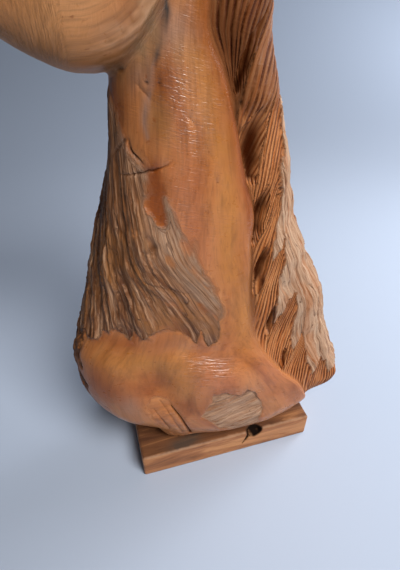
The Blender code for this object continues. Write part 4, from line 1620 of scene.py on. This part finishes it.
def reworked(mesh: bpy.types.Mesh, steps: tuple[tuple[str, dict], ...]) -> bpy.types.Mesh:
    """The mesh after modifiers.

    Args:
        mesh: mesh to start from.
        steps: each modifier's type and settings.

    Returns:
        The new mesh.
    """
    obj = new_object("work", mesh)
    for kind, settings in steps:
        modifier = obj.modifiers.new(kind.lower(), kind)
        for name, value in settings.items():
            setattr(modifier, name, value)
    graph = bpy.context.evaluated_depsgraph_get()
    result = bpy.data.meshes.new_from_object(obj.evaluated_get(graph))
    bpy.data.objects.remove(obj)
    return result


def thinned(mesh: bpy.types.Mesh, most: int) -> bpy.types.Mesh:
    """The mesh in triangles, with the flattest places made coarser.

    Args:
        mesh: mesh to start from.
        most: most triangles that it may have.

    Returns:
        The new mesh.
    """
    mesh = reworked(mesh, (("TRIANGULATE", {}),))
    ratio = min(1.0, most / len(mesh.polygons))
    return reworked(mesh, (("DECIMATE", {"ratio": ratio}),))


def new_piece(name: str, mesh: bpy.types.Mesh, material: bpy.types.Material) -> bpy.types.Object:
    """Object of a mesh with one material, in the scene.

    Args:
        name: the piece's name.
        mesh: its mesh.
        material: its material.

    Returns:
        The piece.
    """
    mesh.materials.clear()
    mesh.materials.append(material)
    return new_object(name, mesh)


@dataclass
class Board:
    """The plinth: a sawn board with eased edges, a knot hole and a short crack, in metres."""

    node: str
    finish: "SawnBoard"
    mesh_spacing: float = 0.0016
    inset: float = 0.0003
    knot_from_right_end: float = 0.0860
    knot_radii: Triple = (0.0110, 0.0100, 0.0125)
    crack_depth: float = 0.0035
    relief_height: float = 0.00012
    saw_mark_height: float = 0.00010
    foot_band: float = 0.0012
    foot_lift: float = 0.0001
    most_triangles: int = 60000

    def __post_init__(self) -> None:
        """Reads the two corners of the node's box."""
        self.low, self.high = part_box(self.node)

    def on_top(self, points: Array) -> Array:
        """1 on the board's top and 0 below it."""
        return blend(self.high.z - 0.003, self.high.z - 0.001, points[:, 2])

    def relief(self, points: Array) -> Array:
        """Grain, saw marks, the knot hole and the crack.

        Args:
            points: points on the board, in metres.

        Returns:
            How far each moves out, in metres.
        """
        x, y, z = (points * MILLIMETRES).T
        grain = ridges(noise(x / 60, y / 3.0, z / 3.0, 201))
        waves = noise(x / 24, y / 24, z / 24, 203)
        relief = self.relief_height * grain + self.relief_height * waves
        saw_marks = np.sin(x * 1.7 + 0.6 * noise(x / 9, y / 9, z, 205))
        relief += self.saw_mark_height * self.on_top(points) * saw_marks
        return relief - self.crack_depth * self.crack(points)

    def crack(self, points: Array) -> Array:
        """1 in the middle of the crack that runs down from the knot hole.

        Args:
            points: points on the board, in metres.

        Returns:
            The share at each place.
        """
        x = (self.high.x - self.knot_from_right_end) * MILLIMETRES
        top = self.high.z * MILLIMETRES
        line = Trail(((x - 6, top + 1), (x - 8.5, top - 7), (x - 12, top - 15), (x - 17, top - 24)))
        away, along = line.offset(points[:, 0] * MILLIMETRES, points[:, 2] * MILLIMETRES)
        near = blend(self.low.y + 0.012, self.low.y + 0.004, points[:, 1])
        return near * np.clip(1 - np.abs(away) / (4.2 - 3.0 * along), 0, 1)

    def marks(self, points: Array) -> dict[str, Array]:
        """Shares that the finish reads at each vertex.

        Args:
            points: points on the board, in metres.

        Returns:
            The dark of the knot and crack, the grey stain on top and the worn near edge, by name.
        """
        uneven = 0.0022 * layered_noise(points[:, 0] * 160, points[:, 1] * 160, points[:, 2] * 160, 207)
        centre = np.array(self.knot_centre())
        radii = np.array(self.knot_radii)
        reach = np.sqrt((((points - centre) / radii) ** 2).sum(1)) + uneven * 60
        # painted shade in the knot hole and the crack, with the knot's own dark wood round the hole
        dark = np.maximum(blend(1.30, 1.05, reach), blend(0.0, 0.35, self.crack(points)))
        x, y = points[:, 0] + 2 * uneven, points[:, 1] + 2 * uneven
        long_stain = mound(x, y, (-0.064, -0.070), (0.022, 0.010), 8)
        round_stain = 0.8 * mound(x, y, (-0.046, -0.060), (0.010, 0.010))
        grey = np.clip(1.4 * np.maximum(long_stain, round_stain), 0, 1) * self.on_top(points)
        edge = np.hypot(points[:, 1] - self.low.y, points[:, 2] - self.high.z) + uneven
        return {"dark": dark, "grey": grey, "worn": blend(0.0042, 0.0012, edge)}

    def build(self) -> bpy.types.Object:
        """Shapes the board.

        Returns:
            The finished piece.
        """
        shape = bmesh.new()
        bmesh.ops.create_cube(shape, size=1.0)
        size = (self.high - self.low) - Vector((2 * self.inset,) * 3)
        bmesh.ops.scale(shape, vec=size, verts=shape.verts)
        bmesh.ops.translate(shape, vec=(self.low + self.high) / 2, verts=shape.verts)
        knot = self.knot_cutter()
        cut = ("BOOLEAN", {"operation": "DIFFERENCE", "object": knot})
        mesh = reworked(mesh_of("board", shape), (cut,))
        bpy.data.objects.remove(knot)
        fine = ("REMESH", {"mode": "VOXEL", "voxel_size": self.mesh_spacing})
        mesh = reworked(mesh, (fine, ("SMOOTH", {"factor": 0.5, "iterations": 1})))
        move_out(mesh, self.relief)
        self.flatten_underside(mesh)
        mesh = thinned(mesh, self.most_triangles)
        store(mesh, self.marks(places_of(mesh)))
        mesh.shade_smooth()
        mesh.name = "plinth_board"
        piece = new_piece("plinth_board", mesh, self.finish.material(self))
        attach(piece, "root")
        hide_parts(self.node)
        return piece

    def flatten_underside(self, mesh: bpy.types.Mesh) -> None:
        """Lays the underside flat on the floor and keeps every side inside the box.

        Args:
            mesh: mesh to change.
        """
        points = places_of(mesh)
        near_floor = points[:, 2] < self.low.z + self.foot_band
        points[near_floor, 2] = self.low.z + self.foot_lift
        mesh.vertices.foreach_set("co", points.ravel())
        keep_inside(mesh, self.low, self.high)

    def knot_centre(self) -> Vector:
        """Middle of the knot hole, on the near top edge."""
        return Vector((self.high.x - self.knot_from_right_end, self.low.y, self.high.z))

    def knot_cutter(self) -> bpy.types.Object:
        """Makes the rough egg that takes the knot hole out of the board.

        Returns:
            The egg, for the cut only.
        """
        shape = bmesh.new()
        bmesh.ops.create_icosphere(shape, subdivisions=4, radius=1.0)
        for vert in shape.verts:
            x, y, z = vert.co
            uneven = 1 + 0.12 * math.sin(4 * x + 3 * z) + 0.08 * math.cos(6 * z - 3 * y)
            for axis in range(3):
                vert.co[axis] *= uneven * self.knot_radii[axis]
        bmesh.ops.translate(shape, vec=self.knot_centre(), verts=shape.verts)
        return new_object("knot_work", mesh_of("knot", shape))


class MaterialGraph:
    """Builds a material's nodes."""

    def __init__(self, name: str) -> None:
        """Starts a material.

        Args:
            name: the material's name.
        """
        self.material = bpy.data.materials.new(name)
        self.material.use_nodes = True
        self.tree = self.material.node_tree
        self.shader = self.tree.nodes["Principled BSDF"]

    def link(self, source: Feed, target: Socket) -> None:
        """Links two sockets, or sets the target when the source is a plain value.

        Args:
            source: a socket, a number or a colour.
            target: the socket to feed.
        """
        if isinstance(source, bpy.types.NodeSocket):
            self.tree.links.new(source, target)
        elif isinstance(source, tuple) and len(source) == 3 and target.type == "RGBA":
            target.default_value = (*source, 1.0)
        else:
            target.default_value = source

    def attribute(self, name: str, vector: bool = False) -> Socket:
        """Socket of a named attribute.

        Args:
            name: the attribute.
            vector: whether it is a vector.

        Returns:
            The socket.
        """
        node = self.tree.nodes.new("ShaderNodeAttribute")
        node.attribute_name = name
        return node.outputs["Vector" if vector else "Fac"]

    def place(self) -> Socket:
        """Socket of the object's own coordinates."""
        return self.tree.nodes.new("ShaderNodeTexCoord").outputs["Object"]

    def noise(
        self, vector: Socket, scale: float, detail: float, rough: float, warp: float = 0.0
    ) -> Socket:
        """Noise between about 0.25 and 0.75.

        Args:
            vector: where it is read.
            scale: how fine it is.
            detail: finer layers.
            rough: their strength.
            warp: distortion.

        Returns:
            The value's socket.
        """
        node = self.tree.nodes.new("ShaderNodeTexNoise")
        self.link(vector, node.inputs["Vector"])
        for name, value in (("Scale", scale), ("Detail", detail), ("Roughness", rough), ("Distortion", warp)):
            node.inputs[name].default_value = value
        return node.outputs["Fac"]

    def grain(
        self, vector: Socket, factors: Triple, detail: float, rough: float, warp: float = 0.0
    ) -> Socket:
        """Noise drawn out along the grain.

        Args:
            vector: where it is read.
            factors: how fine it is on each axis.
            detail, rough, warp: as for noise.

        Returns:
            The value's socket.
        """
        node = self.tree.nodes.new("ShaderNodeVectorMath")
        node.operation = "MULTIPLY"
        self.link(vector, node.inputs[0])
        node.inputs[1].default_value = factors
        return self.noise(node.outputs["Vector"], 1.0, detail, rough, warp)

    def ramp(self, value: Feed, stops: tuple[tuple[float, Colour], ...]) -> Socket:
        """Colour read along stops.

        Args:
            value: where it is read, 0 to 1.
            stops: each stop's place and colour.

        Returns:
            The colour's socket.
        """
        node = self.tree.nodes.new("ShaderNodeValToRGB")
        self.link(value, node.inputs["Fac"])
        elements = node.color_ramp.elements
        while len(elements) < len(stops):
            elements.new(0.5)
        for element, (place, colour) in zip(elements, stops):
            element.position = place
            element.color = (*colour, 1.0)
        return node.outputs["Color"]

    def mix(self, share: Feed, first: Feed, second: Feed, how: str = "MIX") -> Socket:
        """Mix of two colours.

        Args:
            share: share of the second.
            first, second: the colours.
            how: the mix's type.

        Returns:
            The colour's socket.
        """
        node = self.tree.nodes.new("ShaderNodeMix")
        node.data_type = "RGBA"
        node.blend_type = how
        self.link(share, node.inputs["Factor"])
        self.link(first, node.inputs[6])
        self.link(second, node.inputs[7])
        return node.outputs[2]

    def remap(
        self, value: Feed, low: float, high: float, start: float = 0.0, end: float = 1.0
    ) -> Socket:
        """Value moved smoothly from one range to another.

        Args:
            value: the value.
            low, high: where the first range starts and ends.
            start, end: where the new range starts and ends.

        Returns:
            The socket.
        """
        node = self.tree.nodes.new("ShaderNodeMapRange")
        node.interpolation_type = "SMOOTHSTEP"
        self.link(value, node.inputs["Value"])
        for name, number in (("From Min", low), ("From Max", high), ("To Min", start), ("To Max", end)):
            node.inputs[name].default_value = number
        return node.outputs["Result"]

    def times(self, first: Feed, second: Feed) -> Socket:
        """Product of two values."""
        return self.math("MULTIPLY", first, second)

    def plus(self, first: Feed, second: Feed) -> Socket:
        """Sum of two values."""
        return self.math("ADD", first, second)

    def most(self, first: Feed, second: Feed) -> Socket:
        """The larger of two values."""
        return self.math("MAXIMUM", first, second)

    def math(self, how: str, first: Feed, second: Feed = 0.0) -> Socket:
        """Sum, product or other operation on two values.

        Args:
            how: the operation.
            first, second: the values.

        Returns:
            The socket.
        """
        node = self.tree.nodes.new("ShaderNodeMath")
        node.operation = how
        self.link(first, node.inputs[0])
        self.link(second, node.inputs[1])
        return node.outputs[0]

    def finish(
        self, colour: Feed, roughness: Feed, height: Feed, distance: float
    ) -> bpy.types.Material:
        """Feeds the shader and returns the material.

        Args:
            colour: base colour.
            roughness: roughness.
            height: bump height, 0 to 1.
            distance: height of the bump in metres.

        Returns:
            The material.
        """
        bump = self.tree.nodes.new("ShaderNodeBump")
        bump.inputs["Strength"].default_value = 1.0
        bump.inputs["Distance"].default_value = distance
        self.link(height, bump.inputs["Height"])
        self.link(colour, self.shader.inputs["Base Color"])
        self.link(roughness, self.shader.inputs["Roughness"])
        self.tree.links.new(bump.outputs["Normal"], self.shader.inputs["Normal"])
        return self.material


@dataclass(frozen=True)
class RootWood:
    """Finish of the carving: oiled satin wood, raw where the carver left it, with painted shade in its
    grooves, hollows and cracks.
    """

    brown: Colour = (0.290, 0.078, 0.016)
    orange: Colour = (0.460, 0.150, 0.040)
    light: Colour = (0.560, 0.225, 0.078)
    raw_dark: Colour = (0.070, 0.020, 0.006)
    raw_mid: Colour = (0.215, 0.086, 0.032)
    raw_light: Colour = (0.600, 0.345, 0.200)
    raw_gold: Colour = (0.330, 0.130, 0.036)
    pale_dark: Colour = (0.210, 0.090, 0.043)
    pale_mid: Colour = (0.450, 0.255, 0.150)
    pale_light: Colour = (0.600, 0.400, 0.270)
    cut: Colour = (0.460, 0.132, 0.026)
    cut_light: Colour = (0.600, 0.262, 0.100)
    # near-black painted shade for the grooves, hollows, splits, cracks and the valley beside the mane
    deep: Colour = (0.034, 0.005, 0.001)
    # painted shade for the fine grooves between the strands
    furrow_painted_shade: Colour = (0.115, 0.024, 0.005)
    bark: Colour = (0.085, 0.036, 0.018)
    strands_painted_shade: float = 0.90
    grooves_painted_shade: float = 0.97
    polished: float = 0.32
    dull: float = 0.62
    gloss: float = 0.45
    bump: float = 0.0009

    def material(self) -> bpy.types.Material:
        """Builds the wood's nodes.

        Returns:
            The material.
        """
        wood = MaterialGraph("carved_root_wood")
        flow = wood.attribute("flow", vector=True)
        raw, pale, cut, deep, bark = [wood.attribute(n) for n in ("raw", "pale", "cut", "deep", "bark")]
        lines = wood.grain(flow, (5.5, 5.5, 0.22), 3.0, 0.6, 0.3)
        fibres = wood.grain(flow, (5.0, 5.0, 0.17), 5.0, 0.65, 0.3)
        colour = self.worked(wood, flow, lines)
        raw_colour = wood.ramp(fibres, ((0.33, self.raw_dark), (0.50, self.raw_mid), (0.68, self.raw_light)))
        patches = wood.grain(flow, (0.8, 0.8, 0.12), 3.0, 0.5)
        raw_colour = wood.mix(wood.remap(patches, 0.48, 0.64, 0.0, 0.65), raw_colour, self.raw_gold)
        pale_lines = wood.grain(flow, (3.6, 3.6, 0.22), 5.0, 0.65, 0.4)
        pale_stops = ((0.34, self.pale_dark), (0.46, self.pale_mid), (0.64, self.pale_light))
        pale_colour = wood.ramp(pale_lines, pale_stops)
        pale_colour = wood.mix(wood.remap(patches, 0.52, 0.64, 0.0, 0.4), pale_colour, self.orange)
        cut_colour = wood.ramp(lines, ((0.35, self.cut), (0.65, self.cut_light)))
        colour = wood.mix(raw, colour, raw_colour)
        colour = wood.mix(pale, colour, pale_colour)
        colour = wood.mix(cut, colour, cut_colour)
        chips = wood.grain(flow, (1.2, 1.2, 0.8), 3.0, 0.6)
        colour = wood.mix(wood.times(bark, wood.remap(chips, 0.40, 0.56, 0.15, 0.85)), colour, self.bark)
        groove = wood.math("PINGPONG", wood.plus(wood.attribute("strand"), 0.5), 0.5)
        groove = wood.times(wood.remap(groove, 0.16, 0.47), wood.attribute("combed"))
        wear = wood.grain(flow, (1.4, 1.4, 0.30), 3.0, 0.6, 0.3)
        groove = wood.times(groove, wood.remap(wear, 0.36, 0.56, 0.30, 1.0))
        # painted shade along the fine grooves between the strands
        colour = wood.mix(wood.times(groove, self.strands_painted_shade), colour, self.furrow_painted_shade)
        # painted shade: near-black where deep marks grooves, hollows, splits, cracks, the valley beside the
        # mane and the locks
        colour = wood.mix(wood.times(deep, self.grooves_painted_shade), colour, self.deep)
        # fine fissures run where the drawn-out noise crosses its middle; the dark in them is painted shade
        unworked = wood.most(wood.most(raw, pale), bark)
        open_grain = wood.grain(flow, (2.2, 2.2, 0.06), 1.0, 0.5, 0.2)
        fissure = wood.math("ABSOLUTE", wood.math("SUBTRACT", open_grain, 0.5))
        fissure = wood.times(wood.remap(fissure, 0.002, 0.012, 1.0, 0.0), unworked)
        colour = wood.mix(wood.times(fissure, 0.6), colour, self.raw_dark)
        dulling = wood.most(wood.most(pale, bark), wood.times(cut, 0.6))
        dulling = wood.most(dulling, wood.times(raw, 0.15))
        uneven = wood.noise(flow, 1.3, 3.0, 0.6)
        polish = wood.remap(uneven, 0.3, 0.7, self.polished - 0.05, self.polished + 0.10)
        roughness = wood.plus(polish, wood.times(dulling, self.dull - self.polished))
        roughness = wood.math("SUBTRACT", roughness, wood.times(wood.attribute("ripple"), 0.05))
        # no specular where the shade is painted, and less on the dull raw wood
        hidden = wood.most(wood.times(dulling, 0.6), wood.times(deep, 0.98))
        gloss = wood.plus(self.gloss, wood.times(wood.attribute("ripple"), 0.55))
        gloss = wood.times(wood.math("SUBTRACT", 1.0, hidden), gloss)
        wood.link(gloss, wood.shader.inputs["Specular IOR Level"])
        height = wood.plus(self.strokes(wood, flow), wood.times(lines, 0.16))
        height = wood.plus(height, wood.times(wood.times(fibres, unworked), 1.2))
        height = wood.math("SUBTRACT", height, wood.times(groove, 0.9))
        height = wood.math("SUBTRACT", height, wood.times(fissure, 0.7))
        return wood.finish(colour, roughness, height, self.bump)

    def worked(self, wood: MaterialGraph, flow: Socket, lines: Socket) -> Socket:
        """Colour of the worked wood, with its streaks, stains and pores.

        Args:
            wood: the graph to add to.
            flow: socket of the run of the grain.
            lines: socket of the fine grain lines.

        Returns:
            The colour's socket.
        """
        streaks = wood.grain(flow, (0.55, 0.55, 0.085), 4.0, 0.6, 0.6)
        clouds = wood.noise(flow, 0.22, 3.0, 0.5)
        colour = wood.ramp(streaks, ((0.32, self.brown), (0.46, self.orange), (0.66, self.light)))
        colour = wood.mix(wood.remap(clouds, 0.42, 0.70, 0.0, 0.40), colour, self.light)
        colour = wood.mix(wood.attribute("tinted"), colour, wood.attribute("tint", vector=True))
        grain = wood.remap(lines, 0.30, 0.58, 0.80, 1.0)
        broad = wood.grain(flow, (1.6, 1.6, 0.16), 3.0, 0.55, 0.5)
        grain = wood.times(grain, wood.remap(broad, 0.34, 0.60, 0.86, 1.05))
        shade = wood.ramp(grain, ((0.0, (0.0, 0.0, 0.0)), (1.0, (1.0, 1.0, 1.0))))
        colour = wood.mix(1.0, colour, shade, "MULTIPLY")
        specks = wood.grain(flow, (3.2, 3.2, 1.6), 2.0, 0.5)
        return wood.mix(wood.remap(specks, 0.68, 0.76, 0.0, 0.6), colour, self.brown)

    def strokes(self, wood: MaterialGraph, flow: Socket) -> Socket:
        """Height of the fine ripples that the scraper left.

        Args:
            wood: the graph to add to.
            flow: socket of the run of the grain.

        Returns:
            The height's socket.
        """
        turned = wood.tree.nodes.new("ShaderNodeVectorRotate")
        turned.rotation_type = "Y_AXIS"
        turned.inputs["Angle"].default_value = math.radians(-20.0)
        wood.link(flow, turned.inputs["Vector"])
        ripples = wood.grain(turned.outputs["Vector"], (1.3, 1.3, 6.0), 2.0, 0.5, 0.8)
        where = wood.remap(wood.noise(flow, 0.45, 2.0, 0.5), 0.42, 0.60, 0.12, 0.42)
        strength = wood.plus(where, wood.times(wood.attribute("ripple"), 0.55))
        return wood.times(ripples, strength)


@dataclass(frozen=True)
class SawnBoard:
    """Finish of the plinth: brown sawn hardwood, lighter on its faces and dark round and in the knot hole,
    partly painted shade.
    """

    dark: Colour = (0.095, 0.032, 0.012)
    brown: Colour = (0.200, 0.078, 0.030)
    tan: Colour = (0.620, 0.280, 0.110)
    orange: Colour = (0.380, 0.140, 0.048)
    worn: Colour = (0.560, 0.300, 0.160)
    grey: Colour = (0.070, 0.054, 0.042)
    # near-black of the knot wood and of painted shade in its hole and the crack
    knot: Colour = (0.012, 0.007, 0.005)
    roughness: float = 0.56
    gloss: float = 0.4
    bump: float = 0.0005

    def material(self, board: Board) -> bpy.types.Material:
        """Builds the board's nodes.

        Args:
            board: the board, for where its top and knot are.

        Returns:
            The material.
        """
        wood = MaterialGraph("plinth_wood")
        place = wood.place()
        grain = wood.grain(place, (9.0, 110.0, 110.0), 5.0, 0.65, 0.8)
        top = wood.ramp(grain, ((0.30, self.dark), (0.56, self.brown), (0.84, self.tan)))
        broad = wood.grain(place, (7.0, 45.0, 45.0), 6.0, 0.65, 0.8)
        side = wood.ramp(broad, ((0.34, self.brown), (0.48, self.orange), (0.66, self.tan)))
        split = wood.tree.nodes.new("ShaderNodeSeparateXYZ")
        wood.link(place, split.inputs[0])
        height = split.outputs["Z"]
        on_top = wood.remap(height, board.high.z - 0.0022, board.high.z - 0.0006)
        colour = wood.mix(on_top, side, top)
        colour = wood.mix(wood.times(wood.attribute("grey"), 0.75), colour, self.grey)
        colour = wood.mix(wood.times(wood.attribute("worn"), 0.55), colour, self.worn)
        # painted shade in the knot hole and the crack, partly the knot's dark wood
        colour = wood.mix(wood.attribute("dark"), colour, self.knot)
        saw = wood.grain(place, (420.0, 30.0, 30.0), 1.0, 0.4, 0.6)
        bump = wood.plus(grain, wood.times(wood.times(saw, on_top), 0.8))
        uneven = wood.remap(grain, 0.3, 0.7, self.roughness + 0.08, self.roughness - 0.06)
        dry = wood.times(wood.math("SUBTRACT", 1.0, wood.attribute("dark")), self.gloss)
        wood.link(dry, wood.shader.inputs["Specular IOR Level"])
        return wood.finish(colour, uneven, bump, self.bump)


@dataclass(frozen=True)
class Lamp:
    """Soft square light: its side in metres, power in watts and spread in degrees."""

    name: str
    place: Triple
    aim: Triple
    side: float
    power: float
    colour: Colour
    spread: float = 180.0

    def build(self) -> None:
        """Hangs the lamp in its place, facing its aim."""
        data = bpy.data.lights.new(self.name, "AREA")
        data.spread = math.radians(self.spread)
        data.size = self.side
        data.energy = self.power
        data.color = self.colour
        lamp = new_object(self.name, data)
        lamp.location = self.place
        towards = Vector(self.aim) - Vector(self.place)
        lamp.rotation_euler = towards.to_track_quat("-Z", "Y").to_euler()


@dataclass(frozen=True)
class Studio:
    """Pale floor that sweeps up behind, soft light from the right, and the camera."""

    floor_colour: Colour = (0.49, 0.56, 0.69)
    sweep_start: float = 1.2
    sweep_radius: float = 2.6
    wall_height: float = 4.0
    half_width: float = 5.0
    floor_start: float = -3.0
    sweep_steps: int = 24
    paper_roughness: float = 0.85
    paper_gloss: float = 0.2
    camera_place: Triple = (-0.136, -0.3994, 0.576)
    camera_down: float = 37.2
    camera_turn: float = 16.15
    focal_pixels: float = 420.0
    picture_width: float = 400.0
    picture_height: float = 570.0
    centre_row: float = 284.0
    sensor: float = 36.0
    lamps: tuple[Lamp, ...] = (
        Lamp("window", (0.45, -1.15, 1.60), (0.05, 0.0, 0.25), 0.9, 13.4, (1.0, 0.985, 0.96), 105.0),
        Lamp("side_window", (1.35, 0.25, 1.00), (0.45, 0.25, 0.05), 0.8, 8.0, (0.97, 0.98, 1.0)),
        Lamp("backdrop_wash", (2.70, 1.20, 1.30), (1.8, 1.6, 0.1), 1.4, 42.0, (0.95, 0.97, 1.0)),
        Lamp("floor_wash", (1.10, 0.30, 1.10), (0.66, 0.16, 0.0), 0.5, 0.85, (0.95, 0.97, 1.0), 70.0),
    )
    surround_colour: Colour = (0.80, 0.88, 1.0)
    surround_strength: float = 0.045

    def floor(self) -> bpy.types.Object:
        """Makes floor and wall in one curved sheet.

        Returns:
            The sheet.
        """
        profile = [(self.floor_start, 0.0), (self.sweep_start, 0.0)]
        for step in range(1, self.sweep_steps + 1):
            turn = math.pi / 2 * step / self.sweep_steps
            out = self.sweep_start + self.sweep_radius * math.sin(turn)
            profile.append((out, self.sweep_radius * (1 - math.cos(turn))))
        profile.append((profile[-1][0], self.wall_height))
        shape = bmesh.new()
        rows = []
        for y, z in profile:
            rows.append([shape.verts.new((x, y, z)) for x in (-self.half_width, self.half_width)])
        for (a, b), (c, d) in zip(rows, rows[1:]):
            shape.faces.new((a, b, d, c))
        mesh = mesh_of("studio_floor", shape)
        mesh.shade_smooth()
        graph = MaterialGraph("studio_paper")
        graph.shader.inputs["Base Color"].default_value = (*self.floor_colour, 1.0)
        graph.shader.inputs["Roughness"].default_value = self.paper_roughness
        graph.shader.inputs["Specular IOR Level"].default_value = self.paper_gloss
        floor = new_piece("studio_floor", mesh, graph.material)
        return floor

    def surroundings(self) -> None:
        """Adds the lamps and the pale light from all round."""
        for lamp in self.lamps:
            lamp.build()
        world = bpy.data.worlds.new("studio")
        bpy.context.scene.world = world
        world.use_nodes = True
        background = world.node_tree.nodes["Background"]
        background.inputs["Color"].default_value = (*self.surround_colour, 1.0)
        background.inputs["Strength"].default_value = self.surround_strength

    def camera(self) -> None:
        """Camera at the photograph's place, tilt and turn."""
        data = bpy.data.cameras.new("camera")
        data.sensor_fit = "HORIZONTAL"
        data.sensor_width = self.sensor
        data.lens = self.focal_pixels / self.picture_width * self.sensor
        data.shift_y = (self.centre_row - self.picture_height / 2) / self.picture_width
        data.clip_start = 0.01
        camera = new_object("camera", data)
        down, turn = math.radians(self.camera_down), math.radians(self.camera_turn)
        ahead = Vector((math.sin(turn) * math.cos(down), math.cos(turn) * math.cos(down), -math.sin(down)))
        camera.location = self.camera_place
        camera.rotation_euler = ahead.to_track_quat("-Z", "Y").to_euler()
        bpy.context.scene.camera = camera

    def build(self) -> None:
        """Adds the floor, lights and camera."""
        self.floor()
        self.surroundings()
        self.camera()
        bpy.context.scene.view_settings.view_transform = "Standard"


def main() -> None:
    """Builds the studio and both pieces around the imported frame."""
    logging.basicConfig(level=logging.INFO, format="%(message)s")
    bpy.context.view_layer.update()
    Studio().build()
    for maker in (CarvedHorse("horse_head", RootWood()), Board("plinth", SawnBoard())):
        piece = maker.build()
        LOG.info("%s: %d triangles", piece.name, len(piece.data.polygons))


if __name__ == "__main__":
    main()
